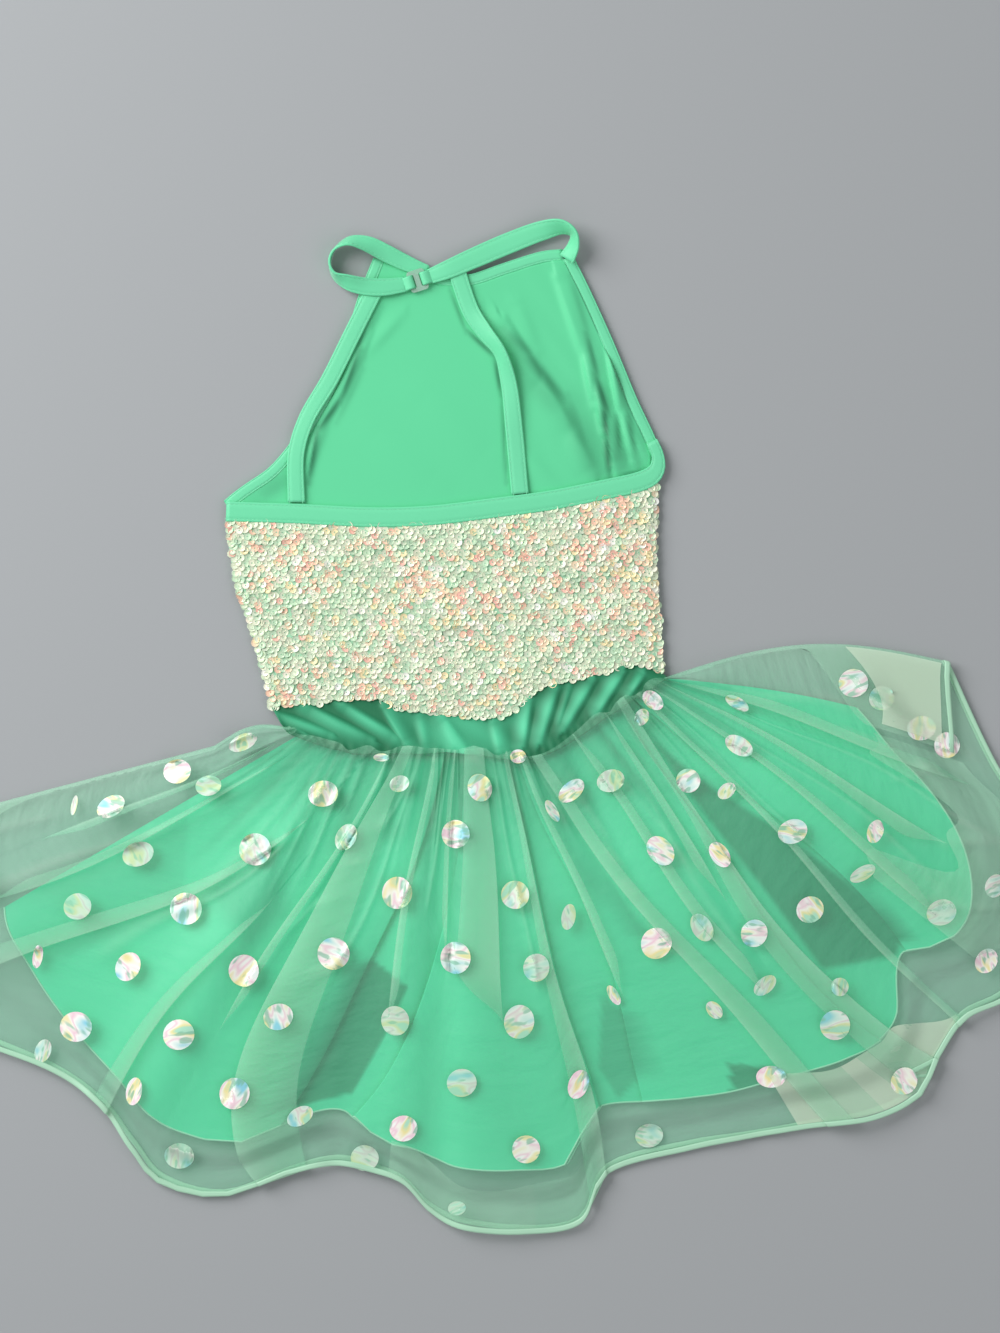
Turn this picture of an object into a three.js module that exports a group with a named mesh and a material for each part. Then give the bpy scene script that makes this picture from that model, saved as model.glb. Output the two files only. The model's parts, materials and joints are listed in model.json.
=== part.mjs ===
// A child's halter dance costume, laid flat on its front with the back uppermost.
// Millimetres. X runs across the garment, Y towards the neck, Z up from the floor.
// The tables are measured from the middle of the waist seam.
import * as THREE from "three";

// Cloth and seams
const SKIRT_WALL = 1.0;
const PANEL_WALL = 1.4;
const LINING_WALL = 1.0;
const TAPE_WALL = 1.8;
const SEAM_GAP = 0.3;
const FOLD_PITCH = 1.5;
const HEM_EDGING_WIDTH = 5;
const HEM_EDGING_WALL = 1.0;

// Widths of the narrow pieces
const ARMHOLE_BINDING_WIDTH = 6.4;
const NECKLINE_BINDING_WIDTH = 6.4;
const BACK_BAND_WIDTH = 12;
const STRAP_WIDTH = 10.5;
const ON_EDGE_ROLL = 70;
const STRAP_STEP = 8;
const LOOP_STEP = 5;
const BAND_STEP = 14;
const BINDING_STEP = 9;
const BINDING_POINTS = 20;

// Closure hook
const HOOK_LENGTH = 11;
const HOOK_WIDTH = 13;
const HOOK_THICKNESS = 1.8;
const HOOK_CORNER = 2;
const HOOK_SLOT_LENGTH = 8.4;
const HOOK_SLOT_WIDTH = 2.2;
const HOOK_SLOT_OFFSET = 2.7;

// How high the upper half of the skirt puffs up, and its gathers at the waist
const SKIRT_PUFF = 9;
const PUFF_SIDES = 4;
const GATHERS = 20;
const GATHER_HEIGHT = 2.2;
const GATHERS_START = 0.12;
const GATHERS_END = 0.45;
const YOKE_RISE = 3;

// The lower layers of the skirt are a little shorter, by a share that wanders along the hem
const FRONT_SHORTER = 0.965;
const FRONT_WANDER = 0.015;
const FRONT_WANDER_RATE = 1.7;

// The turns of a knife fold: free cloth beside it, and the share up to which its direction follows the fan
const FOLD_MARGIN = 1.5;
const NUDGE_REACH = 0.85;

// Spacing of the grids: columns in rows of the fan, and rows in shares of the length.
// A row below UNDER_ROW is a share of the underskirt's length, the rest lies beyond its hem.
const OVERSKIRT_STEP = 0.48;
const UNDERSKIRT_STEP = 0.8;
const LOWER_STEP = 0.75;
const OVERSKIRT_ROWS = [0, 0.08, 0.2, 0.34, 0.48, 0.62, 0.79, 0.88, 1];
const UNDERSKIRT_ROWS = [0, 0.14, 0.3, 0.48, 0.66, 0.84, 1];
const LOWER_ROWS = [0, 0.5, 1];
const UNDER_ROW = 0.75;
const UNDER_REACH = 0.86;

// Heights of the middle of each wall above the floor
const OVERSKIRT_FRONT_Z = SKIRT_WALL / 2;
const UNDERSKIRT_FRONT_Z = OVERSKIRT_FRONT_Z + SKIRT_WALL + SEAM_GAP;
const UNDERSKIRT_BACK_Z = UNDERSKIRT_FRONT_Z + SKIRT_WALL + SEAM_GAP;
const OVERSKIRT_BACK_Z = UNDERSKIRT_BACK_Z + 2 * FOLD_PITCH + SKIRT_WALL + 5 * SEAM_GAP;
const OVERSKIRT_OUTER_Z = OVERSKIRT_FRONT_Z + SKIRT_WALL + 2 * SEAM_GAP;
const FRONT_PANEL_Z = PANEL_WALL / 2;
const LINING_Z = PANEL_WALL + SEAM_GAP + LINING_WALL / 2;
const LINING_TOP = LINING_Z + LINING_WALL / 2;
const BACK_PANEL_Z = LINING_TOP + SEAM_GAP + PANEL_WALL / 2;
const BINDING_WALL = LINING_TOP + SEAM_GAP;

// Named columns for a table written row by row.
function table(columns, rows) {
  return rows.map((row) => Object.fromEntries(columns.map((name, i) => [name, row[i]])));
}

// The skirt, opened like a fan: one row for each stretch of hem, from the left side fold to the right one.
// "under" is the underskirt's length as a share of the overskirt's.
const FAN = table(
  ["waistX", "waistY", "hemX", "hemY", "under"],
  [
    [-110, 14, -372, -55, 0.5],
    [-107, 11, -382, -99, 0.6],
    [-102, 9, -354, -144, 0.7],
    [-97, 7, -309, -170, 0.78],
    [-89, 4, -252, -192, 0.89],
    [-82, 2, -222, -213, 0.92],
    [-76, 1, -203, -240, 0.91],
    [-70, -1, -186, -260, 0.88],
    [-60, -1, -149, -268, 0.875],
    [-48, -1, -108, -254, 0.86],
    [-38, -1, -81, -249, 0.865],
    [-28, -1, -59, -253, 0.9],
    [-19, 0, -40, -260, 0.92],
    [-11, 0, -24, -277, 0.88],
    [-2, -1, -5, -287, 0.87],
    [8, -2, 30, -290, 0.865],
    [20, -4, 66, -284, 0.865],
    [26, -4, 83, -254, 0.845],
    [37, -4, 132, -240, 0.87],
    [49, 0, 167, -233, 0.88],
    [60, 6, 202, -227, 0.87],
    [72, 14, 240, -217, 0.855],
    [80, 20, 265, -200, 0.86],
    [85, 23, 277, -183, 0.87],
    [94, 29, 298, -161, 0.8],
    [101, 34, 323, -149, 0.82],
    [107, 37, 346, -125, 0.8],
    [111, 40, 355, -86, 0.74],
    [114, 42, 343, -45, 0.67],
    [116, 43, 318, -12, 0.62],
    [118, 44, 287, 53, 0.45],
  ],
);
const FAN_END = FAN.length - 1;
const UNDERSKIRT_START = 1.9;
const UNDERSKIRT_END = 29.2;

// Knife folds. "waist" and "hem" place the visible edge in rows of the fan, "bow" moves its middle,
// the depths are the folded width in rows, and "tuck" is the share of the length kept under the fold.
const FOLD_COLUMNS = ["faces", "waist", "hem", "bow", "depthWaist", "depthHem", "depthBow", "tuck"];
const OVERSKIRT_FOLDS = table(FOLD_COLUMNS, [
  ["left", 9.6, 8.7, -1.5, 0.9, 0.6, 1.4, 1],
  ["right", 16.5, 17, 0.1, 0.5, 0.6, 0, 1],
  ["left", 18, 20.4, 0.2, 0.5, 0.4, 0, 1],
  ["right", 24, 23, -1.4, 0.5, 0.9, 0, 0.985],
  ["left", 24.8, 23.7, -0.2, 0.4, 0.22, 0, 1],
]);
const UNDERSKIRT_FOLDS = table(FOLD_COLUMNS, [
  ["right", 12.6, 8, -0.2, 1.1, 0.5, 1.2, 1],
  ["left", 13.9, 9.2, 1, 1, 1.6, 0, 1],
  ["right", 16.4, 17, 0.2, 1, 1.2, 0, 1],
  ["left", 17.2, 17.5, 0.5, 0.8, 1, 0, 1],
  ["right", 23.6, 22.6, -1.3, 0.8, 1, 0, 1],
  ["left", 24.4, 23.8, 0.5, 0.6, 1.2, 0, 1],
]);

// Soft folds that both upper layers share: a ridge from row "waist" to row "hem".
const SOFT_FOLDS = table(
  ["waist", "hem", "height", "width"],
  [
    [2.4, 2.4, 3, 0.9],
    [5.8, 5.6, 4.5, 1],
    [11.4, 11.8, 3.5, 1],
    [14.4, 14.4, 4, 0.9],
    [19.8, 21.2, 3.5, 0.9],
    [26, 25.8, 3.5, 0.9],
    [27.8, 27.6, 3, 0.8],
  ],
);

// Turned-over corners at the two ends of the upper overskirt
const FLAP_LEFT = { depth: 0.8, from: 0.55, to: 0.8, tuck: 0.9 };
const FLAP_RIGHT = { depth: 0.95, from: 0.48, to: 0.62, tuck: 0.9 };
const FLAP_LEAST = 2.5;
const FLAP_LEVEL = 2;

// Outlines of the bodice
const XY = ["x", "y"];
const NECKLINE = table(XY, [[-52, 293], [-39, 289], [-20, 280], [0, 279], [22, 286], [45, 293], [56, 294]]);
const LEFT_ARMHOLE = table(XY, [
  [-52, 293],
  [-61, 270],
  [-68, 247],
  [-80, 217],
  [-98, 187],
  [-116, 165],
  [-130, 155],
  [-137, 150],
]);
const RIGHT_ARMHOLE = table(XY, [[56, 294], [65, 276], [80, 243], [95, 207], [104, 188], [109, 176]]);
const LEFT_SIDE = table(XY, [[-145, 136], [-140, 99], [-134, 81], [-125, 51], [-119, 26]]);
const RIGHT_SIDE = table(XY, [[112, 158], [111, 114], [114, 75], [115, 47]]);
const FRONT_BOTTOM = table(XY, [[-119, 26], [-60, 22], [0, 24], [60, 34], [115, 47]]);
const BACK_BOTTOM = table(XY, [
  [-119, 26],
  [-90, 29],
  [-57, 31],
  [-42, 25],
  [-24, 23],
  [6, 20],
  [25, 23],
  [39, 36],
  [54, 41],
  [78, 46],
  [96, 52],
  [115, 47],
]);
const BACK_BAND = table(XY, [
  [-146, 143],
  [-102, 141.6],
  [-60, 139.6],
  [-24, 140.6],
  [18, 145.6],
  [48, 149.6],
  [78, 155.6],
  [102, 161],
  [110, 164.5],
]);
const SIDE_TURN = 5;
const SIDE_DROP = 1.3;
const SIDE_DROP_END = 0.015;
const BACK_SHARES = shares(32, [0.006, SIDE_DROP_END]);

// Creases: a soft ridge along the line from one end to the other
const CREASE_COLUMNS = ["x1", "y1", "x2", "y2", "height", "width"];
const LINING_CREASES = table(CREASE_COLUMNS, [
  [18, 261, 45, 219, 2.6, 7],
  [45, 219, 68, 180, 2.2, 7],
  [68, 258, 72, 205, 3, 5],
  [72, 205, 84, 178, 4, 5],
  [84, 236, 88, 182, 4, 5],
  [-62, 240, -76, 214, 1, 5],
]);
const BACK_CREASES = table(CREASE_COLUMNS, [
  [-70, 60, 20, 88, 1.2, 12],
  [60, 70, 108, 92, 1.5, 10],
  [-130, 100, -60, 82, 1, 12],
]);
const YOKE_CREASES = table(CREASE_COLUMNS, [
  [-114, 22, -78, 6, 2.2, 4],
  [-96, 25, -46, 5, 2.6, 4],
  [-56, 25, -42, 4, 2, 4],
  [-16, 19, -2, 0, 2.2, 4],
  [14, 16, 18, 0, 2, 4],
  [38, 30, 33, 4, 2.8, 4],
  [54, 36, 44, 4, 2.6, 4],
  [76, 40, 56, 10, 2.8, 4],
  [90, 46, 78, 24, 3, 4],
  [104, 45, 98, 36, 2.4, 3.5],
]);

// Straps: the middle of the tape, and how far it is rolled from flat, in degrees
const STRAP_COLUMNS = ["x", "y", "roll"];
const NECK_STRAP_LEFT = table(STRAP_COLUMNS, [
  [-53, 299, 0],
  [-62, 303, 25],
  [-73, 304.5, 60],
  [-81, 300, 85],
  [-84, 292, 90],
  [-81, 284, 75],
  [-73, 280, 35],
  [-62, 277.5, 8],
  [-51, 277.3, 0],
  [-38.5, 279, 0],
]);
const NECK_STRAP_RIGHT = table(STRAP_COLUMNS, [
  [-24.3, 283.6, 0],
  [-14, 287.5, 0],
  [3, 295, 0],
  [24, 304, 0],
  [43, 311, 12],
  [55, 313, 45],
  [62, 309, 70],
  [62, 302, 50],
  [58, 296, 30],
]);
const BACK_STRAP_LEFT = table(STRAP_COLUMNS, [
  [-61, 267, 0],
  [-71, 249, 0],
  [-84, 222, 0],
  [-98, 198, 20],
  [-104, 178, 10],
  [-104, 148.6, 0],
]);
const BACK_STRAP_RIGHT = table(STRAP_COLUMNS, [
  [-4.5, 283.2, 0],
  [0, 267, 0],
  [9, 249, 20],
  [19, 237, 40],
  [25, 221, 15],
  [28, 192, 0],
  [31, 153.6, 0],
]);

const COLOURS = {
  lycra: 0x68d79f,
  lining: 0x76dfa7,
  sequin: 0xd9d3bf,
  yoke: 0x3aa577,
  underskirt: 0x62d3a3,
  overskirt: 0x9cc9ae,
  edging: 0xa3c5b0,
  plastic: 0xb4c4ba,
};

const MATERIALS = {
  lycra: new THREE.MeshStandardMaterial({ color: COLOURS.lycra, roughness: 0.55, metalness: 0 }),
  lining: new THREE.MeshStandardMaterial({ color: COLOURS.lining, roughness: 0.6, metalness: 0 }),
  sequin: new THREE.MeshStandardMaterial({ color: COLOURS.sequin, roughness: 0.25, metalness: 0.2 }),
  yoke: new THREE.MeshStandardMaterial({ color: COLOURS.yoke, roughness: 0.5, metalness: 0 }),
  underskirt: new THREE.MeshStandardMaterial({ color: COLOURS.underskirt, roughness: 0.7, metalness: 0 }),
  overskirt: new THREE.MeshStandardMaterial({ color: COLOURS.overskirt, roughness: 0.7, metalness: 0 }),
  edging: new THREE.MeshStandardMaterial({ color: COLOURS.edging, roughness: 0.45, metalness: 0 }),
  plastic: new THREE.MeshStandardMaterial({ color: COLOURS.plastic, roughness: 0.2, metalness: 0 }),
};

const costume = new THREE.Group();
costume.name = "costume";

const mix = THREE.MathUtils.lerp;
const smooth = THREE.MathUtils.smoothstep;

// A closed mesh from a grid of mid-surface points, thickened evenly along the surface normal.
function clothWall(grid, wall) {
  const rows = grid.length;
  const columns = grid[0].length;
  const across = new THREE.Vector3();
  const along = new THREE.Vector3();
  const normal = new THREE.Vector3();
  const vertices = [];
  for (const side of [1, -1]) {
    for (let r = 0; r < rows; r += 1) {
      for (let c = 0; c < columns; c += 1) {
        across.subVectors(grid[r][Math.min(c + 1, columns - 1)], grid[r][Math.max(c - 1, 0)]);
        along.subVectors(grid[Math.min(r + 1, rows - 1)][c], grid[Math.max(r - 1, 0)][c]);
        normal.crossVectors(across, along).normalize();
        const p = grid[r][c];
        const reach = (side * wall) / 2;
        vertices.push(p.x + normal.x * reach, p.y + normal.y * reach, p.z + normal.z * reach);
      }
    }
  }
  const layer = rows * columns;
  const at = (side, r, c) => side * layer + r * columns + c;
  const triangles = [];
  const quad = (a, b, c, d) => triangles.push(a, b, c, a, c, d);
  for (let r = 0; r < rows - 1; r += 1) {
    for (let c = 0; c < columns - 1; c += 1) {
      quad(at(0, r, c), at(0, r, c + 1), at(0, r + 1, c + 1), at(0, r + 1, c));
      quad(at(1, r, c), at(1, r + 1, c), at(1, r + 1, c + 1), at(1, r, c + 1));
    }
  }
  const bottom = rows - 1;
  const end = columns - 1;
  for (let c = 0; c < end; c += 1) {
    quad(at(0, 0, c), at(1, 0, c), at(1, 0, c + 1), at(0, 0, c + 1));
    quad(at(0, bottom, c), at(0, bottom, c + 1), at(1, bottom, c + 1), at(1, bottom, c));
  }
  for (let r = 0; r < bottom; r += 1) {
    quad(at(0, r, 0), at(0, r + 1, 0), at(1, r + 1, 0), at(1, r, 0));
    quad(at(0, r, end), at(1, r, end), at(1, r + 1, end), at(0, r + 1, end));
  }
  return facingOut(vertices, triangles);
}

// The geometry, with its triangles turned round if they enclose a negative volume.
function facingOut(vertices, triangles) {
  const corner = (i) => new THREE.Vector3().fromArray(vertices, 3 * triangles[i]);
  let volume = 0;
  for (let i = 0; i < triangles.length; i += 3) {
    volume += corner(i).dot(corner(i + 1).cross(corner(i + 2)));
  }
  if (volume < 0) {
    triangles.reverse();
  }
  const geometry = new THREE.BufferGeometry();
  geometry.setAttribute("position", new THREE.Float32BufferAttribute(vertices, 3));
  geometry.setIndex(triangles);
  geometry.computeVertexNormals();
  return geometry;
}

function addPiece(name, geometry, material) {
  const mesh = new THREE.Mesh(geometry, material);
  mesh.name = name;
  costume.add(mesh);
}

// Smooth value of a table's column at a fractional row.
function columnAt(rows, name, at) {
  const last = rows.length - 1;
  const i = THREE.MathUtils.clamp(Math.floor(at), 0, last - 1);
  const t = at - i;
  const p0 = rows[Math.max(i - 1, 0)][name];
  const p1 = rows[i][name];
  const p2 = rows[i + 1][name];
  const p3 = rows[Math.min(i + 2, last)][name];
  const bend = 2 * p0 - 5 * p1 + 4 * p2 - p3;
  const turn = 3 * p1 - p0 - 3 * p2 + p3;
  return 0.5 * (2 * p1 + (p2 - p0) * t + bend * t * t + turn * t * t * t);
}

// Height of the ridges in a crease table at a point.
function creaseHeight(creases, x, y) {
  let height = 0;
  for (const c of creases) {
    const dx = c.x2 - c.x1;
    const dy = c.y2 - c.y1;
    const t = THREE.MathUtils.clamp(((x - c.x1) * dx + (y - c.y1) * dy) / (dx * dx + dy * dy), 0, 1);
    const away = Math.hypot(x - c.x1 - t * dx, y - c.y1 - t * dy) / c.width;
    height = Math.max(height, c.height * Math.exp(-away * away));
  }
  return height;
}

// Curve through the points of an outline, flat where they have no height.
function outline(rows) {
  const points = rows.map((p) => new THREE.Vector3(p.x, p.y, p.z ?? 0));
  return new THREE.CatmullRomCurve3(points, false, "centripetal");
}

// The outline moved sideways, to the left of its direction.
function moved(rows, distance) {
  return rows.map((p, i) => {
    const before = rows[Math.max(i - 1, 0)];
    const after = rows[Math.min(i + 1, rows.length - 1)];
    const length = Math.hypot(after.x - before.x, after.y - before.y);
    return {
      x: p.x - ((after.y - before.y) / length) * distance,
      y: p.y + ((after.x - before.x) / length) * distance,
    };
  });
}

// Shares from 0 to 1, with close ones at both ends where "edge" is given.
function shares(count, edge = []) {
  const inner = Array.from({ length: count + 1 }, (_, i) => i / count).slice(1, -1);
  return [0, ...edge, ...inner, ...edge.map((e) => 1 - e).reverse(), 1];
}

// A panel spanned between four outlines, with its height given point by point.
function panelGrid(top, bottom, left, right, acrossShares, alongShares, heightAt) {
  const [t, b, l, r] = [top, bottom, left, right].map(outline);
  const corner = (curve, share, weight) => curve.getPointAt(share).multiplyScalar(weight);
  return alongShares.map((v) =>
    acrossShares.map((u) => {
      const point = corner(t, u, 1 - v).add(corner(b, u, v));
      point.add(corner(l, v, 1 - u)).add(corner(r, v, u));
      point.sub(corner(t, 0, (1 - u) * (1 - v))).sub(corner(t, 1, u * (1 - v)));
      point.sub(corner(b, 0, (1 - u) * v)).sub(corner(b, 1, u * v));
      point.z = heightAt(point.x, point.y, u, v);
      return point;
    }),
  );
}

// A flat tape along a path of {x, y, z, roll} rows, with its corners taken off.
function tape(rows, width, thickness, step) {
  const path = outline(rows);
  const steps = Math.ceil(path.getLength() / step);
  const corner = thickness / 3;
  const across = width / 2;
  const up = thickness / 2;
  const section = [
    [across, up - corner],
    [across - corner, up],
    [corner - across, up],
    [-across, up - corner],
    [-across, corner - up],
    [corner - across, -up],
    [across - corner, -up],
    [across, corner - up],
  ];
  const vertices = [];
  for (let i = 0; i <= steps; i += 1) {
    const share = path.getUtoTmapping(i / steps);
    const point = path.getPoint(share);
    const ahead = path.getTangent(share);
    const level = new THREE.Vector3(-ahead.y, ahead.x, 0).normalize();
    const roll = THREE.MathUtils.degToRad(columnAt(rows, "roll", share * (rows.length - 1)));
    const side = level.clone().applyAxisAngle(ahead, roll);
    const normal = new THREE.Vector3().crossVectors(ahead, side);
    for (const [a, b] of section) {
      const p = point.clone().addScaledVector(side, a).addScaledVector(normal, b);
      vertices.push(p.x, p.y, p.z);
    }
  }
  const n = section.length;
  const triangles = [];
  for (let i = 0; i < steps; i += 1) {
    for (let k = 0; k < n; k += 1) {
      const a = i * n + k;
      const b = i * n + ((k + 1) % n);
      triangles.push(a, b, b + n, a, b + n, a + n);
    }
  }
  for (let k = 1; k < n - 1; k += 1) {
    triangles.push(0, k + 1, k);
    triangles.push(steps * n, steps * n + k, steps * n + k + 1);
  }
  return facingOut(vertices, triangles);
}

// Bodice: the sequined front lies on the floor, with its lining on it.
const frontLeft = [...LEFT_ARMHOLE, ...LEFT_SIDE];
const frontRight = [...RIGHT_ARMHOLE, ...RIGHT_SIDE];
const frontPanel = panelGrid(
  NECKLINE,
  FRONT_BOTTOM,
  frontLeft,
  frontRight,
  shares(12),
  shares(17),
  () => FRONT_PANEL_Z,
);
addPiece("front_panel", clothWall(frontPanel, PANEL_WALL), MATERIALS.sequin);

const liningHeight = (x, y) => LINING_Z + creaseHeight(LINING_CREASES, x, y);
const liningLeft = [...LEFT_ARMHOLE, ...moved(LEFT_SIDE, SIDE_TURN)];
const liningRight = [...RIGHT_ARMHOLE, ...moved(RIGHT_SIDE, -SIDE_TURN)];
const liningBottom = FRONT_BOTTOM.map((p, i) => {
  const side = i === 0 ? liningLeft.at(-1) : liningRight.at(-1);
  return i === 0 || i === FRONT_BOTTOM.length - 1 ? side : p;
});
const lining = panelGrid(
  NECKLINE,
  liningBottom,
  liningLeft,
  liningRight,
  shares(22),
  shares(18),
  liningHeight,
);
addPiece("front_lining", clothWall(lining, LINING_WALL), MATERIALS.lining);

// Bindings: folded tape round the raw edges, as thick as the two layers that it closes.
function binding(name, edge, width, outward, from, to) {
  const points = outline(edge).getSpacedPoints(BINDING_POINTS);
  const middle = moved(points, outward * (width / 2 + 2 * SEAM_GAP));
  const kept = middle.slice(from, BINDING_POINTS + 1 - to);
  const rows = kept.map((p) => ({ ...p, z: BINDING_WALL / 2, roll: 0 }));
  addPiece(name, tape(rows, width, BINDING_WALL, BINDING_STEP), MATERIALS.lycra);
}
binding("armhole_binding_left", LEFT_ARMHOLE, ARMHOLE_BINDING_WIDTH, -1, 0, 1);
binding("armhole_binding_right", RIGHT_ARMHOLE, ARMHOLE_BINDING_WIDTH, 1, 0, 0);
binding("neckline_binding", NECKLINE, NECKLINE_BINDING_WIDTH, 1, 1, 1);

// The lower back: sequined, with its side edges turned down to the front.
const backHeight = (x, y, u) => {
  const turned = 1 - smooth(Math.min(u, 1 - u), 0, SIDE_DROP_END);
  return BACK_PANEL_Z + creaseHeight(BACK_CREASES, x, y) - SIDE_DROP * turned;
};
const backTop = moved(BACK_BAND, -(BACK_BAND_WIDTH / 2 + 2 * SEAM_GAP));
const backLeft = [backTop[0], ...LEFT_SIDE.slice(1)];
const backRight = [backTop.at(-1), ...RIGHT_SIDE.slice(1)];
const backPanel = panelGrid(backTop, BACK_BOTTOM, backLeft, backRight, BACK_SHARES, shares(7), backHeight);
addPiece("back_panel", clothWall(backPanel, PANEL_WALL), MATERIALS.sequin);

const bandRows = BACK_BAND.map((p) => ({ ...p, z: LINING_TOP + SEAM_GAP + TAPE_WALL / 2, roll: 0 }));
addPiece("back_band", tape(bandRows, BACK_BAND_WIDTH, TAPE_WALL, BAND_STEP), MATERIALS.lycra);

// Height at which a tape of this roll rests on the bodice at a point.
function restHeight(p, floor) {
  const roll = THREE.MathUtils.degToRad(p.roll);
  const half = (STRAP_WIDTH / 2) * Math.sin(roll) + (TAPE_WALL / 2) * Math.cos(roll);
  return floor + SEAM_GAP + half;
}
const strapOnLining = (p) => {
  const reach = STRAP_WIDTH / 2;
  const around = [-reach, 0, reach].map((dx) => LINING_TOP + creaseHeight(LINING_CREASES, p.x + dx, p.y));
  return { ...p, z: restHeight(p, Math.max(BINDING_WALL, ...around)) };
};
function addStrap(name, rows, step) {
  addPiece(name, tape(rows, STRAP_WIDTH, TAPE_WALL, step), MATERIALS.lycra);
}
addStrap("back_strap_left", BACK_STRAP_LEFT.map(strapOnLining), STRAP_STEP);
addStrap("back_strap_right", BACK_STRAP_RIGHT.map(strapOnLining), STRAP_STEP);

const strapOnBinding = (p) => ({ ...p, z: restHeight(p, BINDING_WALL) });
const strapOffEdge = (p) => ({ ...p, z: restHeight(p, p.roll > ON_EDGE_ROLL ? 0 : BINDING_WALL) });
addStrap("neck_strap_left", NECK_STRAP_LEFT.map(strapOffEdge), LOOP_STEP);
addStrap("neck_strap_right", NECK_STRAP_RIGHT.map(strapOnBinding), LOOP_STEP);

// The closure hook between the ends of the neck straps: a plate with a slot for each end.
function roundedSlot(shape, length, width, offset) {
  const hole = new THREE.Path();
  const r = width / 2;
  const reach = length / 2 - r;
  hole.absarc(offset, -reach, r, Math.PI, 0, false);
  hole.absarc(offset, reach, r, 0, Math.PI, false);
  shape.holes.push(hole);
}
function hookPlate() {
  const x = HOOK_LENGTH / 2;
  const y = HOOK_WIDTH / 2;
  const r = HOOK_CORNER;
  const shape = new THREE.Shape();
  shape.absarc(x - r, y - r, r, 0, Math.PI / 2, false);
  shape.absarc(r - x, y - r, r, Math.PI / 2, Math.PI, false);
  shape.absarc(r - x, r - y, r, Math.PI, 1.5 * Math.PI, false);
  shape.absarc(x - r, r - y, r, 1.5 * Math.PI, 2 * Math.PI, false);
  roundedSlot(shape, HOOK_SLOT_LENGTH, HOOK_SLOT_WIDTH, HOOK_SLOT_OFFSET);
  roundedSlot(shape, HOOK_SLOT_LENGTH, HOOK_SLOT_WIDTH, -HOOK_SLOT_OFFSET);
  return new THREE.ExtrudeGeometry(shape, { depth: HOOK_THICKNESS, bevelEnabled: false, curveSegments: 4 });
}
addPiece("closure_hook", hookPlate(), MATERIALS.plastic);
const hookFrom = NECK_STRAP_LEFT.at(-1);
const hookTo = NECK_STRAP_RIGHT[0];
const hook = costume.getObjectByName("closure_hook");
hook.position.set((hookFrom.x + hookTo.x) / 2, (hookFrom.y + hookTo.y) / 2, BINDING_WALL + SEAM_GAP);
hook.rotation.z = Math.atan2(hookTo.y - hookFrom.y, hookTo.x - hookFrom.x);

// Hip yoke: gathered cloth between the bodice and the waist seam.
const waistLine = FAN.map((row) => ({ x: row.waistX, y: row.waistY }));
const waistEdge = moved(waistLine, 2 * SEAM_GAP);
const yokeSide = (top, bottom) => {
  const between = { x: mix(top.x, bottom.x, 0.5), y: mix(top.y, bottom.y, 0.5) };
  return [top, between, bottom];
};
const frontYokeTop = moved(FRONT_BOTTOM, -SEAM_GAP);
const yokeFront = panelGrid(
  frontYokeTop,
  waistEdge,
  yokeSide(frontYokeTop[0], waistEdge[0]),
  yokeSide(frontYokeTop.at(-1), waistEdge.at(-1)),
  shares(24),
  shares(2),
  () => FRONT_PANEL_Z,
);
addPiece("yoke_front", clothWall(yokeFront, PANEL_WALL), MATERIALS.yoke);

const backYokeTop = moved(BACK_BOTTOM, -2 * SEAM_GAP);
const yokeHeight = (x, y, u, v) => {
  const rise = YOKE_RISE * smooth(v, 0.1, 0.9);
  return BACK_PANEL_Z + rise + creaseHeight(YOKE_CREASES, x, y);
};
const yokeBack = panelGrid(
  backYokeTop,
  waistEdge,
  yokeSide(backYokeTop[0], waistEdge[0]),
  yokeSide(backYokeTop.at(-1), waistEdge.at(-1)),
  BACK_SHARES,
  shares(5),
  yokeHeight,
);
addPiece("yoke_back", clothWall(yokeBack, SKIRT_WALL), MATERIALS.yoke);

// A point of the skirt at a row of the fan and a share of the way from waist to hem.
function fanPoint(at, share) {
  const x = mix(columnAt(FAN, "waistX", at), columnAt(FAN, "hemX", at), share);
  const y = mix(columnAt(FAN, "waistY", at), columnAt(FAN, "hemY", at), share);
  return new THREE.Vector3(x, y, 0);
}

// Puff and soft folds that the two upper layers share.
function upperRelief(at, share) {
  const inner = Math.min(share / columnAt(FAN, "under", at), 1);
  const fromLeft = smooth(at, UNDERSKIRT_START, UNDERSKIRT_START + PUFF_SIDES);
  const fromRight = smooth(-at, -UNDERSKIRT_END, PUFF_SIDES - UNDERSKIRT_END);
  let height = SKIRT_PUFF * fromLeft * fromRight * Math.sin(Math.PI * inner) ** 1.5;
  for (const fold of SOFT_FOLDS) {
    const away = (at - mix(fold.waist, fold.hem, share)) / fold.width;
    height += fold.height * smooth(share, 0.05, 0.35) * Math.exp(-away * away);
  }
  return height;
}

// The visible edge and the hidden turn of a knife fold, as functions of the share from waist to hem.
function foldEdges(fold) {
  const hump = (share) => 4 * share * (1 - share);
  const edge = (share) => mix(fold.waist, fold.hem, share) + fold.bow * hump(share);
  const depth = (share) => mix(fold.depthWaist, fold.depthHem, share) + fold.depthBow * hump(share);
  const sign = fold.faces === "left" ? 1 : -1;
  return { edge, hidden: (share) => edge(share) + sign * depth(share) };
}

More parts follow.
